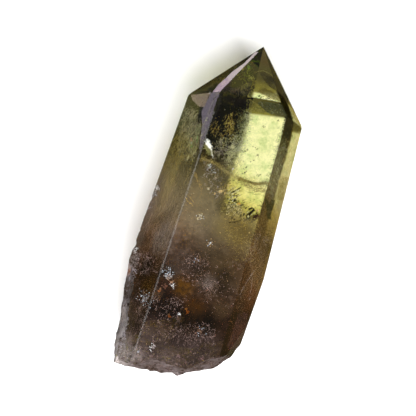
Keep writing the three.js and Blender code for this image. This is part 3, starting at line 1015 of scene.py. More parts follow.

# healed cracks, streaks of dust, fibres and mottling, with painted shade, glow and glints among them
VEILS = {
    "crossing": streak(CROSSING, 2.4, (0.6, 3), 2600, (0.06, 0.16), (0.62, 0.55, 0.33)),
    "crossing_dust": streak(CROSSING, 7, (1, 8), 1500, FINE, (0.4, 0.32, 0.14)),
    "scratch_by_leaf": streak([(177, 134.5), (187, 129), (195, 124.5), (203, 121.5)], 0.6, (0, 0), 110,
        DUST, (0.5, 0.42, 0.38)),
    "tan_by_leaf": streak([(186, 128), (194, 127), (203, 124)], 3, (1.5, 3), 160, FINE, TAN),
    "left_wisp": streak([(173.5, 142), (175.5, 150), (175, 158), (177, 170)], 1, (0.1, 0.4), 320, FINE,
        (0.7, 0.56, 0.34)),
    "yellow_wisp": streak([(191, 168), (188, 176), (184, 184)], 1.2, (0.5, 1.5), 260, (0.08, 0.2),
        (0.75, 0.58, 0.28)),
    "ochre_wisp": streak([(195, 172), (197, 180), (202, 189)], 2, (0.5, 2), 220, FINE, (0.62, 0.46, 0.18)),
    "moss_needles": streak([(184, 160), (182, 172), (179, 186)], 3, (0.5, 2), 300, (0.1, 0.26), MOSS,
        shape=NEEDLE),
    "straw_wisp": streak([(184, 195), (188, 201), (193, 206)], 1, (0.1, 0.4), 200, FINE, STRAW),
    "straw_wisp_thin": streak([(187, 195), (191, 198), (194, 203)], 0.8, (0.1, 0.4), 120, FINE, STRAW),
    "gold_dash": streak([(213, 117), (216, 118), (219, 117)], 0.5, (2, 2.5), 70, FINE, GOLD),
    "crossing_fork": streak([(228, 165), (238, 176), (250, 182)], 3, (1, 5), 350, FINE, (0.5, 0.45, 0.2)),
    "lilac_veil": streak([(212, 158), (224, 150), (236, 143)], 4, (2, 5), 260, FINE, LILAC_GREY),
    "lilac_veil_low": streak([(222, 160), (233, 152), (244, 147)], 2.5, (3, 6), 200, FINE, LILAC_GREY),
    "right_lilac": streak([(276, 150), (283, 147), (287, 150)], 1.2, (1, 2), 120, FINE, LILAC_GREY),
    "right_beige": streak([(279, 184), (286, 185), (291, 186)], 0.8, (0.5, 1), 60, FINE, BEIGE),
    "golden_dark": golden_needles((231, 125), (8, 16), 450),
    "golden_dark_left": golden_needles((216, 128), (8, 9), 210),
    "golden_dark_right": golden_needles((241, 118), (6, 12), 210),
    "sandy_shoulder": sandy_needles((192, 114), (7, 10), 600),
    "sandy_face": sandy_needles((181, 138), (8, 14), 1800),
    "sandy_edge": sandy_needles((170, 152), (7, 11), 1000),
    "golden_threads": threads([(226, 112), (238, 112), (238, 136), (224, 146), (218, 138), (222, 124)],
        (1, 4), 60, (2, 6), GRAIN, (0.66, 0.5, 0.12), 90, LENGTHWISE, spread=0.5),
    "bright_gold_threads": threads([(226, 112), (233, 113), (234, 130), (228, 134)], (1, 3), 70, (2, 6),
        GRAIN, (0.85, 0.66, 0.16), 90, LENGTHWISE, spread=0.4),
    "golden_edge_threads": threads([(210, 122), (220, 118), (222, 134), (210, 136)], (1, 4), 50, (2, 5),
        FINE, (0.6, 0.46, 0.12), 60, LENGTHWISE),
    "slanting_fibres": threads([(217, 160), (236, 142), (246, 138), (244, 148), (226, 166)], (0.2, 1), 90,
        (4, 12), SLIGHT, (0.72, 0.72, 0.52), 40, -35),
    "pale_curls": threads([(202, 160), (214, 158), (222, 178), (224, 196), (210, 196), (204, 178)], SKIN,
        130, (1.5, 5), (0.03, 0.07), (0.6, 0.56, 0.58), 260, spread=0.4),
    "panel_edge_curls": threads([(227, 148), (237, 140), (234, 160), (226, 162)], SKIN, 90, (2, 6),
        (0.06, 0.1), (0.6, 0.58, 0.3), 200, spread=0.5),
    "edge_fibres": threads([(188, 128), (199, 126), (196, 152), (188, 158)], SKIN, 70, (2, 7), THIN,
        (0.58, 0.55, 0.28), 60, LENGTHWISE, spread=0.4),
    "wedge_shade": fill([(239, 86), (251, 82), (250, 97), (243, 96)], SKIN, 700, THIN, (0.2, 0.18, 0.07),
        spread=0.5),
    "mauve_break_rim": fill([(127, 268), (134, 250), (141, 254), (134, 274)], (-0.12, 0), 900, GRAIN,
        (0.5, 0.42, 0.41), spread=0.5),
    "pale_beside_panel": threads([(226, 205), (240, 204), (240, 216), (226, 216)], SKIN, 90, (1.5, 5),
        SLIGHT, (0.6, 0.52, 0.24), 120, -30, spread=0.4),
    "grey_curls": threads([(212, 142), (224, 138), (222, 160), (212, 160)], SKIN, 55, (1.5, 5), SLIGHT,
        (0.52, 0.48, 0.3), 200, spread=0.5),
    "bright_beside_panel": threads([(226, 190), (238, 188), (238, 204), (228, 206)], SKIN, 90, (1.5, 5),
        SLIGHT, (0.7, 0.66, 0.36), 120, -30, spread=0.4),
    "border_mottle": threads(
        [(246, 113), (254, 114), (248, 136), (242, 156), (234, 174), (226, 172), (228, 152), (238, 130)],
        (0.3, 2.5), 260, (2, 6), FINE, (0.74, 0.76, 0.46), 180),
    "border_mottle_low": threads([(216, 140), (240, 132), (236, 156), (224, 164), (218, 156)], (0.3, 2),
        110, (2, 5), FINE, (0.62, 0.62, 0.36), 180, spread=0.6),
    "left_fibres": threads(LEFT_FACE, (0.1, 0.5), 420, (3, 9), FINE, (0.8, 0.73, 0.46), 50, LENGTHWISE,
        spread=0.4),
    "left_glow": fill(LEFT_FACE_TOP, (0.1, 0.6), 1500, (0.06, 0.16), (0.72, 0.7, 0.4), spread=0.5),
    "left_dark_fibres": threads(LEFT_FACE, (0.1, 0.5), 150, (3, 9), (0.06, 0.14), DARK_OLIVE, 50,
        LENGTHWISE),
    "left_skin_fibres": threads(LEFT_FACE_TOP, SKIN, 150, (3, 9), (0.05, 0.09), (0.5, 0.44, 0.24), 60,
        LENGTHWISE, spread=0.5),
    "left_skin_streak": streak([(198, 122), (197, 138), (191, 158)], 6, SKIN, 1300, THIN, (0.5, 0.47, 0.23),
        spread=0.5),
    "left_skin_dark": threads(LEFT_FACE, SKIN, 60, (3, 8), DUST, (0.05, 0.04, 0.02), 60, LENGTHWISE),
    "edge_glow": fill([(197, 124), (201, 124), (199, 140), (196, 152), (190, 156), (190, 146), (194, 138)],
        (0.1, 0.5), 1500, (0.08, 0.18), (0.52, 0.55, 0.29), spread=0.4),
    "bright_fibres": threads([(176, 132), (184, 136), (178, 162), (166, 164)], (0.1, 0.5), 50, (3, 12),
        FINE, (0.9, 0.76, 0.46), 60, LENGTHWISE),
    "low_fibres": threads(LEFT_FACE_LOW, BEHIND, 90, (6, 22), FINE, (0.52, 0.47, 0.34), 30, LENGTHWISE,
        spread=0.4),
    "low_moss_fibres": threads(LEFT_FACE_LOW, BEHIND, 110, (6, 22), (0.07, 0.16), MOSS, 30, LENGTHWISE),
    "olive_cloud": cluster((226, 142), (15, 12), (1.5, 8), 450, (0.07, 0.2), (0.42, 0.39, 0.2), -20),
    "pale_cloud": cluster((232, 150), (4, 14), (0.5, 3), 600, (0.08, 0.2), (0.6, 0.6, 0.34), 16),
    "shoulder_cloud": cluster((180, 114), (6, 9), (0.5, 3), 500, (0.08, 0.2), (0.84, 0.8, 0.52), 16),
    "panel_foot_veil": streak([(238, 178), (255, 184), (268, 183)], 1.8, (0.5, 2), 900, (0.06, 0.16),
        (0.5, 0.42, 0.18)),
    "panel_foot_line": streak([(238, 182), (247, 186), (255, 189), (264, 191)], 1.8, SKIN, 420, GRAIN,
        (0.34, 0.29, 0.12), spread=0.5),
    "panel_foot_shade": fill([(240, 182), (264, 185), (266, 193), (250, 191)], SKIN, 2200, THIN,
        (0.26, 0.2, 0.07), spread=0.5),
    "green_point": cluster((246, 75), (9, 9), (0.5, 4), 650, (0.06, 0.2), (0.52, 0.58, 0.12)),
    "brown_shoulder": cluster((236, 90), (12, 3), (0.3, 2), 500, SMALL, (0.3, 0.23, 0.13), 5),
    "green_edge": fill([(247.5, 96.5), (253, 80), (257, 80), (255, 90), (252, 97.5)], SHALLOW, 600,
        (0.1, 0.2), (0.55, 0.5, 0.12)),
    "green_edge_low": fill([(247, 98.5), (254, 99.5), (252, 113), (245, 112)], (0.3, 2), 300, (0.1, 0.2),
        (0.4, 0.36, 0.1)),
    "green_tip": cluster((250, 68), (4, 8), (1, 3), 160, (0.06, 0.16), (0.3, 0.42, 0.1)),
    "ochre_point": cluster((262, 88), (11, 6), (1.5, 7), 420, (0.06, 0.2), (0.5, 0.42, 0.12), 15),
    "orange_needles": cluster((234, 92), (7, 2.5), (2, 6), 60, (0.06, 0.16), (0.5, 0.25, 0.04), 5,
        shape=NEEDLE),
    "above_wedge": fill([(256, 91.3), (262, 94), (268, 97.2), (274, 99.7), (280.5, 101.9), (281.5, 97),
         (270, 90), (262, 88)], SHALLOW, 4600, (0.08, 0.18), (0.52, 0.45, 0.11)),
    "golden_triangle": fill([(250, 99), (257, 103.5), (262, 107.5), (268, 113), (249, 112)], SHALLOW, 1500,
        (0.08, 0.18), (0.36, 0.32, 0.07)),
    "golden_stripe": fill(
        [(287.5, 99), (291.5, 104), (303, 127), (299, 125.5), (294.5, 119.5), (291.5, 112)], SKIN, 4200,
        (0.07, 0.13), (0.26, 0.2, 0.04), spread=0.5),
    "right_point_line": streak([(273, 69), (280, 82), (290, 100)], 1.6, SKIN, 420, THIN, (0.22, 0.17, 0.03),
        spread=0.4),
    "right_point_stripe": fill([(269, 68), (272, 69), (288, 101), (284, 98), (278, 90), (274, 80)],
        (0.1, 0.8), 2200, (0.1, 0.22), (0.28, 0.25, 0.04)),
    "below_wedge": cluster((258, 109), (8, 3.5), (0.5, 4), 420, (0.06, 0.16), (0.6, 0.58, 0.18), 5),
    "curved_line": streak([(254, 72.5), (262, 70.5), (269, 73), (274, 77.5)], 0.7, (0.4, 0.8), 160, FINE,
        (0.62, 0.58, 0.22)),
    # painted glints: bright green flecks for the light that the point's left part catches
    "painted_green_glint": cluster((251, 78), (3, 2.5), (0.4, 1), 150, (0.08, 0.2), (0.85, 0.88, 0.25)),
    "painted_upper_green_glint": cluster((249, 67.5), (1.6, 2.2), (0.4, 1), 90, (0.08, 0.2), (0.42, 0.75, 0.16)),
    "ochre_spot": cluster((243, 68.5), (1.5, 2), (0.4, 1), 70, (0.08, 0.2), (0.75, 0.62, 0.16)),
    # painted shade: olive flakes that cover the light pad, so that the point's left face shows dark olive
    "shade_left_of_point": fill([(201, 88), (222, 72), (250, 52), (246, 60), (226, 80), (213, 88)], (0.3, 3),
        3200, (0.08, 0.18), (0.4, 0.3, 0.08)),
}

# wisps and dust between the clear and the smoky half
CURLS = {
    "lilac_needles": cluster((208, 167), (5, 4), (0.5, 2.5), 420, (0.06, 0.2), LILAC, 35, patchy=2.5,
        shape=NEEDLE),
    "lilac_needles_low": cluster((215, 176), (6, 7), (0.5, 3), 520, (0.06, 0.2), LILAC, 35, patchy=2.5,
        shape=NEEDLE),
    "straw_curls": cluster((224, 190), (8, 6), (0.5, 3), 420, (0.06, 0.18), (0.7, 0.6, 0.36), 0,
        patchy=2.5),
    "lilac_dust": cluster((220, 152), (7, 6), (1, 4), 160, (0.06, 0.16), LILAC_GREY),
    "milky_dust": cluster((210, 287), (10, 7), (0.8, 4), 900, FINE, LILAC_GREY, -20),
    "beige_dust": cluster((198, 261), (7, 4), (0.6, 2), 200, FINE, BEIGE, -15),
}

CURL_BEND = 220.0
CURL_TONE = (0.40, 0.28, 0.25)
CURL_SHADOW = (0.020, 0.012, 0.008)
SMUDGE_TONE = (0.33, 0.24, 0.225)

# parts of the smoky skin full of curls: corners, how many curls and the range of their lengths
CURLED_PARTS = {
    "upper_middle": ([(184, 254), (208, 254), (212, 274), (196, 286), (180, 282)], 140, (1.5, 4)),
    "upper_left": ([(138, 254), (153, 254), (153, 272), (138, 274)], 70, (3, 8)),
    "centre": ([(150, 296), (182, 298), (182, 345), (148, 345), (158, 318)], 210, (1.5, 5)),
    "lower_middle": ([(182, 324), (214, 322), (218, 345), (182, 348)], 130, (1.5, 6)),
    "lower_left": ([(134, 344), (160, 342), (160, 358), (132, 358)], 60, (2, 5)),
    "bottom": ([(134, 356), (215, 350), (215, 366), (176, 370), (134, 364)], 150, (1.5, 5)),
    "left": ([(134, 292), (150, 290), (148, 330), (134, 334)], 90, (1.5, 5)),
    "right": ([(206, 256), (246, 262), (240, 300), (214, 316), (200, 296)], 90, (1.5, 4)),
}

# smudges in the smoky skin: centre, reach and count
SMUDGES = {
    "left": ((148, 258), (7, 7), 160),
    "upper": ((196, 264), (13, 8), 160),
    "low_middle": ((178, 332), (12, 6), 130),
    "low_right": ((206, 336), (12, 6), 130),
    "milky": ((211, 285), (9, 6), 300),
    "middle": ((180, 302), (12, 4), 120),
}

# fibres of the broken side, and scratches and light on the smoky faces
SCRATCHES = {
    "break_pale_fibres": threads(BROKEN_SIDE, (-0.12, 0), 420, (1.5, 5), (0.05, 0.12), (0.52, 0.48, 0.52),
        120, LENGTHWISE, spread=0.5),
    "break_dark_fibres": threads(BROKEN_SIDE, (-0.12, 0), 260, (1.5, 5), (0.05, 0.12), (0.05, 0.035, 0.03),
        120, LENGTHWISE),
    "dark_corner": fill(
        [(238, 314), (248, 312), (247, 328), (243, 338), (234, 351), (227, 346), (233, 330)], (-0.06, 0.02),
        3600, (0.06, 0.12), (0.066, 0.036, 0.028), spread=0.6),
    "beside_break": fill([(132, 278), (138, 278), (134, 320), (129, 322)], SKIN, 1500, GRAIN,
        (0.035, 0.022, 0.015), spread=0.5),
    "scratch": streak([(254, 271), (247, 281), (239, 295)], 0.4, (0, 0), 150, DUST, SCRATCH),
    "scratch_beside": streak([(252, 276), (251, 288), (249, 300)], 0.4, (0, 0), 100, (0.04, 0.07), SCRATCH),
    "smear": streak([(257, 234), (252, 250), (249, 262)], 4, (0, 0), 420, SLIGHT, (0.3, 0.24, 0.2)),
    "smear_right": streak([(266, 238), (261, 256)], 4, (0, 0), 260, SLIGHT, (0.28, 0.22, 0.19)),
    "shoulder_fibres": threads([(172, 106), (190, 103), (191, 120), (175, 125)], SKIN, 70, (2, 6),
        (0.05, 0.09), (0.42, 0.4, 0.24), 120, LENGTHWISE, spread=0.5),
    "amber_light": fill([(149, 290), (158, 286), (164, 292), (160, 300), (151, 300)], SKIN, 420, GRAIN,
        (0.13, 0.065, 0.028), spread=0.5),
    "grey_light": fill([(122, 344), (140, 346), (142, 362), (124, 364)], SKIN, 500, SLIGHT,
        (0.52, 0.45, 0.44), spread=0.4),
}

DEEP_WIDTH = 0.9  # in pixels

# black strokes deep under the bright panel: both ends and the count
DEEP_STROKES = [
    ((231, 193.5), (240, 188.5), 40),
    ((244, 124), (249, 121), 26),
    ((243.5, 152), (248, 149.5), 26),
    ((253, 147), (258, 149), 14),
    ((255, 157), (259, 154), 14),
    ((250, 162), (254, 160), 12),
    ((243, 169), (247, 167), 20),
    ((242, 174), (246, 172), 20),
    ((257, 175), (261, 175.5), 14),
    ((277, 120), (280, 121.5), 10),
    ((263, 126), (266, 127.5), 10),
    ((232, 168), (234, 170), 10),
    ((226, 219), (235, 216), 30),
    ((238, 215), (241, 212), 26),
    ((214, 210), (228, 205), 60),
    ((225, 198), (238, 202), 60),
    ((228, 206), (236, 203), 40),
]

# specks and a reddish hollow under the lower end of the bright panel
HOLLOWS = {
    "red_hollow": cluster((256.5, 217.5), (3.6, 2.2), (2, 4), 160, SMALL, (0.04, 0.01, 0.005), -10),
    "specks_round_ring": cluster((250, 212), (9, 6), (3, 9), 150, (0.06, 0.16), BLACK, -15),
}

# black strokes in the skin: both ends, width in pixels and count
STROKES = [
    ((248.7, 209.4), (252.8, 208), 0.9, 110),
    ((249.3, 214.2), (254, 209.8), 1.1, 170),
    ((243.2, 215.8), (244.4, 213.4), 0.5, 40),
    ((240.2, 217.2), (241.2, 214.6), 0.5, 40),
    ((236.6, 213), (237.6, 212), 0.4, 14),
    ((231.6, 219), (232.6, 217.6), 0.5, 16),
    ((234, 219.6), (235, 219.2), 0.4, 12),
    ((245.4, 208.4), (246.8, 207), 0.4, 16),
    ((233, 201.4), (236.4, 200.2), 0.9, 30),
]

# marks round the lower end of the bright panel, with painted highlights beside its black strokes
PANEL_MARKS = {
    "ring": streak(RING, 0.4, (-0.1, -0.1), 260, (0.1, 0.16), BLACK),
    "ring_middle": cluster(RING_CENTRE, (0.7, 1), (-0.08, -0.06), 30, (0.08, 0.14), (0.55, 0.52, 0.28),
        patchy=0),
    "stroke_below": streak([(229, 223), (235, 222.4), (241, 220.4)], 0.5, (-0.1, -0.1), 110, (0.08, 0.13),
        BLACK),
    "thin_stroke_above": streak([(231, 193.2), (241, 187.2)], 0.35, (-0.1, -0.1), 150, (0.08, 0.13), BLACK),
    "light_above": highlight_line((231.6, 194.6), (241, 188.8)),
    "light_below": highlight_line((247, 219), (250.5, 216), (255, 212)),
    "light_between": highlight_line((246.5, 213), (249.5, 211.6)),
    "light_left": highlight_line((232.6, 196), (232, 200)),
    "red_brown_patch": streak([(252.4, 218), (258.4, 215.4)], 2.2, ON_SKIN, 230, (0.12, 0.18),
        (0.03, 0.012, 0.008)),
    "panel_end_threads": threads([(240, 209), (250, 204), (262, 204), (262, 216), (246, 222), (232, 220)],
        SKIN, 16, (1, 3), (0.08, 0.14), BLACK, 120, -35),
    "dark_beside_panel": threads(BESIDE_PANEL, SKIN, 85, (2, 7), (0.07, 0.14), (0.05, 0.04, 0.015), 60,
        -25),
    "light_beside_panel": threads(BESIDE_PANEL, SKIN, 30, (2, 7), DUST, (0.42, 0.38, 0.14), 60, -25,
        spread=0.4),
    "olive_light_threads": threads(OLIVE_PART, SKIN, 340, (1.5, 5), DUST, (0.34, 0.25, 0.07), 200,
        spread=0.5),
    "olive_dark_threads": threads(OLIVE_PART, SKIN, 220, (1.5, 5), DUST, (0.06, 0.04, 0.015), 200),
}

SPECK_REACH = (0.7, 0.7)
SPECK_COUNT = 12
SPECK_TONE = (0.06, 0.04, 0.02)

# dark specks on the left and lower faces
SPECKS = [
    (163, 215), (177, 226), (179, 229), (184, 223), (176, 237), (197, 233), (189, 243), (182, 220),
    (229, 241), (225, 255),
]

# painted shadows, painted dark reflections and the painted light that shows between them, as dark and pale
# flakes
SHADOWS = {
    "thin_line": streak([(158, 213.5), (178, 212), (206, 212)], 1.6, (0, 0), 160, (0.03, 0.06),
        (0.06, 0.045, 0.03)),
    "panel_left_edge": streak([(245, 113), (241, 130), (236, 150), (232, 172)], 6, (0.8, 5), 1000,
        (0.06, 0.18), (0.4, 0.42, 0.18)),
    "panel_left_edge_pale": streak([(249.5, 113), (245.5, 130), (240.5, 150), (236.5, 172)], 6, (0.8, 5),
        900, (0.06, 0.18), (0.6, 0.62, 0.34)),
    "panel_left_moss": streak([(247, 114), (242, 135), (236, 152), (228, 168)], 5, (6, 18), 120,
        (0.14, 0.36), MOSS),
    "left_needles": dark_needles((231, 192), (8, 13), 150),
    "left_dust": golden_dust((231, 192), (8, 13), 300),
    "middle_needles": dark_needles((236, 208), (12, 7), 190),
    "middle_dust": golden_dust((236, 208), (12, 7), 380),
    "low_needles": dark_needles((246, 222), (14, 4), 190),
    "low_dust": golden_dust((246, 222), (14, 4), 380),
    "moss_below_wedge": cluster((262, 108), (16, 4), (3, 14), 300, (0.12, 0.34), MOSS, 5),
    "right_corner_shade": streak([(290, 121), (287, 140)], 4, BEHIND, 500, COARSE, DARK_OLIVE),
    # painted reflection: black flakes for the dark sliver that the point's right face mirrors
    "point_sliver_reflection": fill([(278, 91.5), (284, 98.5), (288.5, 105.5), (294, 118.5), (290.5, 119.5),
         (285.5, 111.5), (280.5, 100)], BEHIND, 6500, (0.12, 0.26), BLACK),
    "olive_corner": fill([(294, 121.5), (301.5, 127), (299.8, 134.3), (292.5, 131)], SHALLOW, 900,
        (0.1, 0.22), (0.32, 0.29, 0.1)),
    "dark_block": fill([(286.5, 116), (293.5, 120), (291, 134), (287, 142), (283, 141)], BEHIND, 1400,
        (0.1, 0.24), (0.02, 0.02, 0.012)),
    "right_face_brown": fill([(271, 216), (280, 213), (277, 228), (272, 244), (264, 242)], SKIN, 1500,
        (0.06, 0.11), (0.2, 0.14, 0.05), spread=0.5),
    "dark_stripe_threads": threads([(268, 172), (279, 172), (278, 198), (265, 198)], SKIN, 130, (2, 7),
        THIN, (0.07, 0.055, 0.012), 80, LENGTHWISE, spread=0.5),
    "right_edge_glow": streak([(299, 140), (293, 170), (287, 198), (281, 216)], 2.4, SKIN, 1200,
        (0.06, 0.11), (0.3, 0.22, 0.07), spread=0.5),
    "heart": fill(HEART, SKIN, 4200, (0.06, 0.12), (0.03, 0.027, 0.008)),
    "heart_foot": fill([(266, 213), (271.2, 212), (271, 219.6), (268, 219)], SKIN, 1100, (0.06, 0.12),
        (0.03, 0.027, 0.008)),
    "heart_threads": threads(HEART, (-0.12, -0.08), 24, (1.5, 4), (0.03, 0.06), (0.22, 0.2, 0.09), 60,
        LENGTHWISE, spread=0.5),
    "right_stripe": fill([(280, 176), (292, 178), (286, 200), (277, 200)], SKIN, 3600, (0.06, 0.12),
        (0.11, 0.07, 0.01), spread=0.5),
    "right_stripe_low": fill([(279, 199), (286, 199), (278, 230), (270, 230)], (0.1, 0.8), 3500,
        (0.08, 0.18), (0.42, 0.34, 0.13)),
    "wispy_light": threads(WISPY_PART, SKIN, 300, (3, 9), (0.05, 0.09), (0.26, 0.27, 0.13), 160,
        LENGTHWISE - 6, spread=0.5),
    "wispy_dark": threads(WISPY_PART, SKIN, 200, (2, 6), DUST, (0.03, 0.03, 0.015), 160),
    "sunny_threads": threads([(286, 136), (300, 134), (291, 176), (282, 200), (276, 200), (281, 176)], SKIN,
        300, (3, 10), (0.05, 0.09), (0.26, 0.19, 0.06), 90, LENGTHWISE - 6, spread=0.6),
    "smoky_light_threads": threads(SMOKY_SIDE, SKIN, 420, (3, 10), (0.03, 0.07), (0.2, 0.13, 0.065), 80,
        LENGTHWISE - 4, spread=0.5),
    "smoky_dark_threads": threads(SMOKY_SIDE, SKIN, 420, (3, 10), (0.03, 0.07), (0.05, 0.03, 0.015), 80,
        LENGTHWISE - 4),
    "smoke_start": streak([(273, 194), (270, 205), (267, 219)], 6, BEHIND, 900, (0.1, 0.26),
        (0.16, 0.13, 0.05)),
    "right_stripe_pale": dim_stripe((0.34, 0.36, 0.17), (285, 140), (281, 160), (277, 176)),
    "right_stripe_ochre": dim_stripe((0.36, 0.31, 0.12), (277, 176), (275, 185), (273, 194)),
    "right_stripe_lower": streak([(285, 184), (280, 202), (275, 222)], 5, BEHIND, 900, SMALL,
        (0.4, 0.33, 0.12)),
    "point_right_edge": streak([(284, 80), (289, 92), (294, 106)], 4, BEHIND, 500, SMALL,
        (0.42, 0.38, 0.08)),
    "corner_glow": streak([(294, 124), (297, 131)], 4, BEHIND, 220, SMALL, (0.36, 0.33, 0.12)),
    "heart_rim": olive_rim((265, 205), (271, 200), (274, 204)),
    "heart_rim_low": olive_rim((268, 212), (271, 210)),
    "heart_rim_foot": olive_rim((265, 216), (268, 222)),
    "diagonal_shade": fill([(259.5, 72.8), (264.5, 72.4), (273, 77.5), (275, 82), (277, 90), (275, 90),
         (267.5, 84.8), (262, 77)], (0.4, 1.2), 1500, (0.12, 0.24), (0.105, 0.09, 0.045)),
    "green_shade": fill(GREEN_PART, (0.4, 1.2), 1500, (0.12, 0.24), (0.105, 0.115, 0.05)),
    "green_lights": threads(GREEN_PART, (0.2, 1), 60, (1.5, 4), (0.05, 0.12), (0.45, 0.46, 0.24), 180),
    "brown_by_panel": cluster((229, 208), (10, 7), (0.4, 2), 320, COARSE, (0.1, 0.085, 0.03), -25,
        patchy=2),
    "veil_threads": threads([(240, 184), (267, 188), (264, 197), (236, 191)], (0.1, 0.5), 60, (2, 6),
        (0.07, 0.14), (0.36, 0.32, 0.13), 40, 0),
    "dark_by_veil": cluster((220, 160), (6, 3), (0.2, 0.8), 420, (0.1, 0.22), (0.06, 0.055, 0.025), 30),
    "dark_below_wedge": cluster((272, 106), (11, 4), (0.5, 6), 260, (0.1, 0.25), DARK_OLIVE, 5),
    "shoulder_black": fill([(211, 108), (221, 106), (221, 121), (210, 121)], SHALLOW, 260, (0.12, 0.26),
        BLACK),
    "below_shoulder": streak([(224, 98.5), (235, 100.5), (247, 102.5)], 5, SHALLOW, 1500, (0.14, 0.3),
        BLACK),
    "point_left_shade": streak([(229, 79), (225, 84), (220, 89)], 4, SHALLOW, 1200, (0.14, 0.3),
        (0.08, 0.06, 0.04)),
    "edge_shade": streak(LONG_EDGE, 3.4, SHALLOW, 3400, (0.2, 0.42), (0.03, 0.027, 0.012)),
    "edge_shade_middle": streak(LONG_EDGE[3:7], 3, SHALLOW, 1600, (0.2, 0.42), (0.055, 0.048, 0.02)),
    "edge_strip": fill([(212, 94), (222, 94), (219, 108), (213, 124), (206, 127), (209, 108)], SHALLOW,
        3000, (0.12, 0.26), (0.03, 0.027, 0.02)),
    "leaf_shade": streak([(219, 84), (221, 89), (214, 90)], 4, BEHIND, 700, (0.14, 0.3), DARK_OLIVE),
    "shoulder_corner": cluster((203, 98), (7, 7), (0.5, 2.5), 500, (0.14, 0.3), DARK_OLIVE),
    "shoulder_rim": fill([(195, 91), (212, 90), (210, 99), (196, 99)], SHALLOW, 900, (0.12, 0.26),
        DARK_OLIVE),
}

# the black mottling of the smoky half: centre, reach and count
BLACK_MOTTLING = [
    ((166, 287), (5, 6), 160),
    ((204, 322), (13, 6), 200),
    ((152, 268), (9, 11), 260),
    ((141, 305), (8, 10), 260),
    ((160, 308), (9, 7), 260),
    ((186, 300), (8, 5), 140),
]

# flakes painted bright as glints, partly pale flecks of the stone: pixel, count, reach in pixels and tone
PAINTED_GLINTS_AND_FLECKS = [
    ((209.5, 92.5), 6, 0.8, WHITE),
    ((208.6, 188.6), 12, 1.1, WHITE),
    ((209, 165), 10, 1.2, BLUISH),
    ((233, 169), 6, 0.8, WHITE),
    ((228.5, 185.5), 14, 0.9, (1, 0.85, 0.62)),
    ((220.5, 191.5), 22, 1.3, (1, 0.86, 0.66)),
    ((225, 193), 6, 0.6, (0.95, 0.75, 0.45)),
    ((215, 193.5), 8, 1, BEIGE),
    ((239, 204), 26, 1.4, (0.95, 0.6, 0.12)),
    ((257.5, 211), 10, 0.9, (0.9, 0.65, 0.45)),
    ((200, 216.5), 18, 3.2, BLUISH),
    ((155.5, 188.5), 16, 1.8, WHITE),
    ((152, 193), 12, 1.8, BLUISH),
    ((149, 206), 14, 3, LILAC_GREY),
    ((211, 244), 22, 4, BEIGE),
    ((197, 260), 16, 3.2, LILAC_GREY),
    ((134, 248), 26, 1.8, WHITE),
    ((169, 277), 46, 3.4, BLUISH),
    ((171, 282), 16, 1.6, WHITE),
    ((165, 286), 22, 2.4, LILAC_GREY),
    ((145, 298), 30, 3.4, BLUISH),
    ((159.5, 291), 16, 1.4, (0.8, 0.38, 0.12)),
    ((160.5, 289), 8, 0.8, (1, 0.85, 0.7)),
    ((187.5, 312), 18, 2.2, (0.8, 0.42, 0.08)),
    ((186, 309), 14, 0.9, (1, 0.85, 0.45)),
    ((169.5, 316.5), 12, 1.2, (0.85, 0.45, 0.12)),
    ((168.5, 314.5), 6, 0.6, (1, 0.8, 0.45)),
    ((200, 330), 24, 3.6, BEIGE),
    ((232, 322), 12, 2.2, BEIGE),
    ((138, 352), 8, 1, BLUISH),
    ((153, 347), 14, 1.6, WHITE),
    ((202, 359), 22, 2.6, LILAC_GREY),
    ((178, 357), 14, 2.2, LILAC_GREY),
]

BRUISE_SHADOW = (0.02, 0.015, 0.015)
BRUISE_REACH = 1.5  # how much further a bruise reaches than its table says

# bruises in the skin, white chips partly painted as sparkles: pixel, count, reach in pixels and tone
BRUISES = [
    ((208.6, 188.6), 5, 1, WHITE),
    ((209, 165), 7, 1.6, BLUISH),
    ((213, 170), 6, 2.4, BLUISH),
    ((233, 169), 3, 0.6, WHITE),
    ((200, 216.5), 8, 2.6, BLUISH),
    ((157, 188), 26, 2, WHITE),
    ((155, 195), 7, 2, BLUISH),
    ((150, 208), 8, 2.6, LILAC_GREY),
    ((211, 244), 9, 3, BLUISH),
    ((197, 260), 6, 2.6, BLUISH),
    ((135, 249), 26, 2.2, WHITE),
    ((168, 274), 44, 4, BLUISH),
    ((173, 285), 22, 2, WHITE),
    ((145, 298), 40, 5, BLUISH),
    ((179, 314), 16, 1, WHITE),
    ((138, 352), 4, 0.8, BLUISH),
    ((152, 347), 26, 2.4, WHITE),
    ((200, 330), 10, 3.4, BLUISH),
]

# small sparkles scattered close behind the skin of the lower half: pale flakes whose tone is partly a
# painted glint
SPARKLE_TRIES = 9000
SPARKLE_SIZE = (0.06, 0.20)
SPARKLE_TONE = (0.80, 0.76, 0.82)
SPARKLE_DEPTH = 0.003  # how far below the skin they go, in metres
SPARKLE_SHARE = 0.05  # how many of the tries are kept everywhere
SPARKLE_SCALE = 260  # the noise that crowds them
SPARKLE_EDGE = (0.0, 0.4)
SPARKLE_FROM = (20, 50)  # where along the stone they start to crowd, in mm

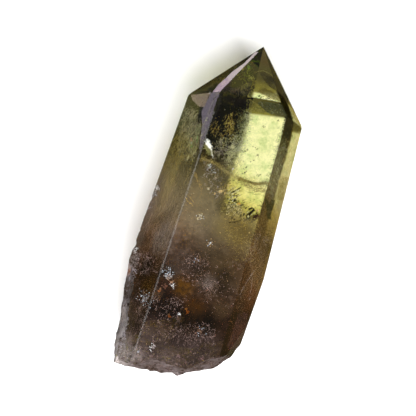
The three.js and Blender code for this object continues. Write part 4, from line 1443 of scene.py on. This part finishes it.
# the pale leaf under the long edge with its tail, and slivers of colour in thin open cracks
SLIVERS = {
    "leaf": streak([(207, 140.5), (208.5, 144.5), (210, 148)], 2.2, (0, 0), 300, (0.07, 0.14), PALE_LEAF,
        spread=0.06, flat=True),
    "leaf_shadow": streak([(206, 145), (208.5, 150), (211, 153)], 3, (0.5, 1.2), 260, (0.12, 0.24),
        (0.48, 0.51, 0.3), spread=0.2, flat=True),
    "leaf_tail": streak([(211, 149), (212, 153), (213, 158)], 0.7, (0, 0), 90, THIN, PALE_LEAF, flat=True),
    "red_sliver": streak([(191.2, 138.5), (191.2, 141.5)], 0.7, (0.6, 0.6), 60, (0.12, 0.2),
        (1, 0.25, 0.15)),
    "white_sliver": streak([(191.3, 141.5), (191.4, 145)], 0.8, (0.6, 0.6), 80, (0.12, 0.2),
        (0.75, 1, 0.95)),
    "green_sliver": streak([(191.4, 145), (191.5, 147.5)], 0.7, (0.6, 0.6), 50, (0.12, 0.2),
        (0.12, 0.8, 0.18)),
    "green_sliver_side": streak([(197.5, 136), (196.5, 143)], 0.6, (0.6, 0.8), 50, (0.08, 0.16),
        (0.1, 0.65, 0.12)),
    "violet_sliver": streak([(229, 350), (231, 346), (233, 343)], 0.5, (0.3, 0.3), 26, (0.06, 0.12),
        (0.25, 0.15, 0.7)),
    "white_crack": streak([(181, 309), (177, 320)], 1.2, (0.4, 0.6), 70, (0.08, 0.16), WHITE, shape=NEEDLE,
        lengthwise=TO_BREAK),
    "cream_chip": streak([(124, 312), (122, 318), (121, 323)], 1.2, (0.3, 0.5), 60, (0.08, 0.18),
        (0.8, 0.68, 0.5)),
    "rusty_break": cluster((129.5, 270), (1.4, 6), (0.2, 0.8), 110, (0.08, 0.2), RUST),
}


def smoke():
    """The dust of the smoky half."""
    flakes = Flakes(11)
    for drift in DRIFTS.values():
        flakes.drift(*drift)
    flakes.build("smoke", fault_material("dust", 0.8))


def veils():
    """Healed cracks and streaks of dust that run through the stone, with painted shade, glow and glints."""
    flakes = Flakes(12)
    flakes.lay(VEILS)
    flakes.build("veils", fault_material("veil", 0.6))


def curls():
    """Pale wisps, curls and scratches of the smoky half, with painted light and shadow among them."""
    flakes = Flakes(15)
    flakes.lay(CURLS)
    for corners, count, length in CURLED_PARTS.values():
        flakes.threads(corners, SKIN, count, length, DUST, CURL_TONE, CURL_BEND, spread=0.7)
        flakes.threads(corners, SKIN, count, length, THIN, CURL_SHADOW, CURL_BEND)
    for centre, reach, count in SMUDGES.values():
        style = {"patchy": 3.0, "spread": 0.6}
        flakes.cluster(centre, reach, SKIN, count, GRAIN, SMUDGE_TONE, CROSSWISE, **style)
    flakes.lay(SCRATCHES)
    flakes.build("curls", fault_material("curl", 0.6))


def dark_marks():
    """Black and reddish marks and hollows, and painted shadows, dark reflections and light."""
    flakes = Flakes(13)
    for start, end, count in DEEP_STROKES:
        flakes.streak([start, end], DEEP_WIDTH, DEEP, count, SMALL, BLACK)
    flakes.lay(HOLLOWS)
    for start, end, width, count in STROKES:
        flakes.streak([start, end], width, ON_SKIN, count, (0.14, 0.22), BLACK)
    flakes.lay(PANEL_MARKS)
    for pixel in SPECKS:
        flakes.cluster(pixel, SPECK_REACH, SKIN, SPECK_COUNT, THIN, SPECK_TONE, patchy=0)
    flakes.lay(SHADOWS)
    for centre, reach, count in BLACK_MOTTLING:
        flakes.cluster(centre, reach, (0.8, 4.0), count, COARSE, BLACK, CROSSWISE)
    flakes.build("dark_marks", fault_material("dark_mark", 0.5))


def glints():
    """Flakes painted bright as glints and sparkles, each bruise with black between them."""
    flakes = Flakes(14)
    bright = {"spread": 0.1, "patchy": 0, "flat": True}
    for pixel, count, reach, tone in PAINTED_GLINTS_AND_FLECKS:
        flakes.cluster(pixel, (reach, reach), (0.4, 1.0), count, (0.12, 0.30), tone, **bright)
    for pixel, count, reach, tone in BRUISES:
        bruise = (BRUISE_REACH * reach, BRUISE_REACH * reach)
        flakes.cluster(pixel, bruise, PROUD, count, (0.06, 0.13), tone, **bright)
        flakes.cluster(pixel, bruise, SKIN, count, (0.08, 0.15), BRUISE_SHADOW, patchy=0)
    flakes.lay(SLIVERS)
    scattered = []
    for point in flakes.anywhere(SPARKLE_TRIES):
        patch = step(noise.noise(point * SPARKLE_SCALE), *SPARKLE_EDGE)
        crowd = SPARKLE_SHARE + patch * step(along_of(point), *SPARKLE_FROM)
        if flakes.random.uniform() < crowd and inside(point) and not inside(point, SPARKLE_DEPTH):
            scattered.append(point)
    flakes.add(scattered, SPARKLE_SIZE, SPARKLE_TONE)
    flakes.build("glints", fault_material("glint", 0.3, 0.5))


# ---------------------------------------------------------------- floor, light and camera

FLOOR_HALF = 3.0
FLOOR_DROP = -0.0002
FLOOR_TONE = grey(0.96)
STAGE_GLOW = 0.12  # the strength of the white world round the studio

CARD_DROP = -0.1  # the cards lie between the stone and the floor, in mm
CARD_RISE = 0.5  # but those beside the tip a little above it
CARDS_FAR = 160.0  # how far the dark flags reach beyond the tip and to both sides
CARDS_END = 190.0  # and how far beyond the break
WALL_TOP = 110.0
SIDE = -60.0  # where the cards on the left stand
PAD_SIDES = (1.0, 13.5)  # the left and right of the light pad
PAD_ENDS = (40.0, -14.0)

# the glow of the cards
DUSK = (0.065, 0.060, 0.030)
NIGHT = (0.003, 0.003, 0.002)
PINK = (1.9, 1.62, 1.70)
LILAC_GLOW = (1.35, 1.15, 1.42)
TAUPE = (1.9, 1.45, 1.10)
ORCHID = (1.6, 1.20, 1.45)

# cards on the floor, as x and along: under the right of the tip, mirrored as the black sliver in the right
# face of the point; by the tip, mirrored by the left face of the point; and on the left
SLIVER_CARD = [(13.5, -15.2), (14.6, -12.3), (16.4, -10.2), (19.2, -7.6), (21, -9.5), (17, -14), (15, -17)]
TIP_CARD = [(-8, -25), (-12, -22.8), (-15, -20), (-17, -18.8), (-24, -34), (-8, -34)]
TIP_SIDE_CARD = [(-17, -18.8), (-19.6, -17), (-21.8, -16.3), (-27, -16), (-32, -34), (-24, -34)]
LOW_CARD = [(SIDE, -18), (-55, -14.5), (-56, -12), (-58, -11.5), (SIDE, -12)]
# upright cards on the left, as along and z, mirrored by the long left face
SIDE_CARD = [
    (-22, 4.2),
    (-15.8, 4.0),
    (-11, 3.7),
    (-9.7, 3.3),
    (-5, 5.3),
    (-1.3, 6.0),
    (2, 6.9),
    (4, 8),
    (4, 14),
    (-22, 14),
]
SIDE_CARD_LOW = [(-18, 0), (-12, 0), (-10.8, 2), (-11, 3.7), (-18, 4)]

EDGE_LIGHT = (-0.7065, 0.234, 0.504)  # mirrored to the camera by the long edge on the left
# soft boxes: place in metres, side in metres and power
LIGHTS = {
    "key": ((0.42, -0.74, 0.84), 0.7, 31),
    "fill": ((-0.12, -0.75, 1.0), 0.5, 12),
    "edge": (EDGE_LIGHT, 0.25, 0.40),
}
STONE_MIDDLE = Vector((0, 0, 0.012))


def make_floor():
    half = FLOOR_HALF
    corners = [(-half, -half, 0), (half, -half, 0), (half, half, 0), (-half, half, 0)]
    mesh = bpy.data.meshes.new("floor")
    mesh.from_pydata(corners, [], [(0, 1, 2, 3)])
    mesh.materials.append(floor_material())
    floor = add_object("floor", mesh)
    floor.location.z = FLOOR_DROP


def card(name, corners, material):
    """A flat studio card with the given corners. It changes only what the stone reflects and refracts."""
    mesh = bpy.data.meshes.new(name)
    mesh.from_pydata([place(*corner) for corner in corners], [], [tuple(range(len(corners)))])
    mesh.materials.append(material)
    board = add_object(name, mesh)
    board.visible_camera = False
    board.visible_diffuse = False
    board.visible_shadow = False
    board.visible_volume_scatter = False


def lying_card(name, corners, material, height=CARD_DROP):
    card(name, [(x, along, height) for x, along in corners], material)


def standing_card(name, x, corners, material):
    card(name, [(x, along, z) for along, z in corners], material)


def rectangle(start, end):
    """The corners of a rectangle between two opposite ones."""
    return [start, (end[0], start[1]), end, (start[0], end[1])]


def make_cards():
    """Dark flags round the stone, a light pad under it, and the pale cards that its left faces mirror."""
    dusk = glow_material("flag", DUSK)
    night = glow_material("night", NIGHT)
    left, right = PAD_SIDES
    back, front = PAD_ENDS
    far = CARDS_FAR
    top = -far
    bottom = CARDS_END
    lying_card("flag_left", rectangle((-far, bottom), (left, top)), dusk)
    lying_card("flag_right", rectangle((right, bottom), (far, top)), dusk)
    lying_card("flag_base", rectangle((left, bottom), (right, back)), dusk)
    lying_card("flag_tip", rectangle((left, front), (right, top)), dusk)
    lying_card("light_pad", rectangle((left, back), (right, front)), glow_material("pad", pad_light))
    lying_card("sliver_card", SLIVER_CARD, night, CARD_DROP / 2)
    for name, x in (("wall_right", far), ("wall_left", -far)):
        standing_card(name, x, rectangle((bottom, CARD_DROP), (top, WALL_TOP)), night)
    taupe = glow_material("taupe_card", TAUPE)
    lying_card("floor_card_tip", TIP_CARD, glow_material("pink_card", PINK), CARD_RISE)
    lying_card("floor_card_side", TIP_SIDE_CARD, glow_material("orchid_card", ORCHID), CARD_RISE)
    standing_card("side_card", SIDE, SIDE_CARD, glow_material("lilac_card", LILAC_GLOW))
    standing_card("side_card_low", SIDE, SIDE_CARD_LOW, taupe)
    lying_card("floor_card_low", LOW_CARD, taupe, 0.0)


def soft_light(name, position, side, power):
    """A square soft box that looks at the middle of the stone."""
    light = bpy.data.lights.new(name, "AREA")
    light.shape = "RECTANGLE"
    light.size = side
    light.size_y = side
    light.energy = power
    box = bpy.data.objects.new(name, light)
    box.location = position
    aim = STONE_MIDDLE - box.location
    box.rotation_euler = aim.to_track_quat("-Z", "Y").to_euler()
    box.visible_camera = False
    bpy.context.scene.collection.objects.link(box)


def make_world():
    world = bpy.data.worlds.new("studio")
    bpy.context.scene.world = world
    world.use_nodes = True
    background = world.node_tree.nodes["Background"]
    background.inputs["Color"].default_value = (1.0, 1.0, 1.0, 1)
    background.inputs["Strength"].default_value = STAGE_GLOW


dress_stone()
smoke()
veils()
curls()
dark_marks()
glints()

make_floor()
make_cards()
for light_name, (position, side, power) in LIGHTS.items():
    soft_light(light_name, position, side, power)
make_world()
make_camera()
bpy.context.scene.view_settings.view_transform = "Standard"
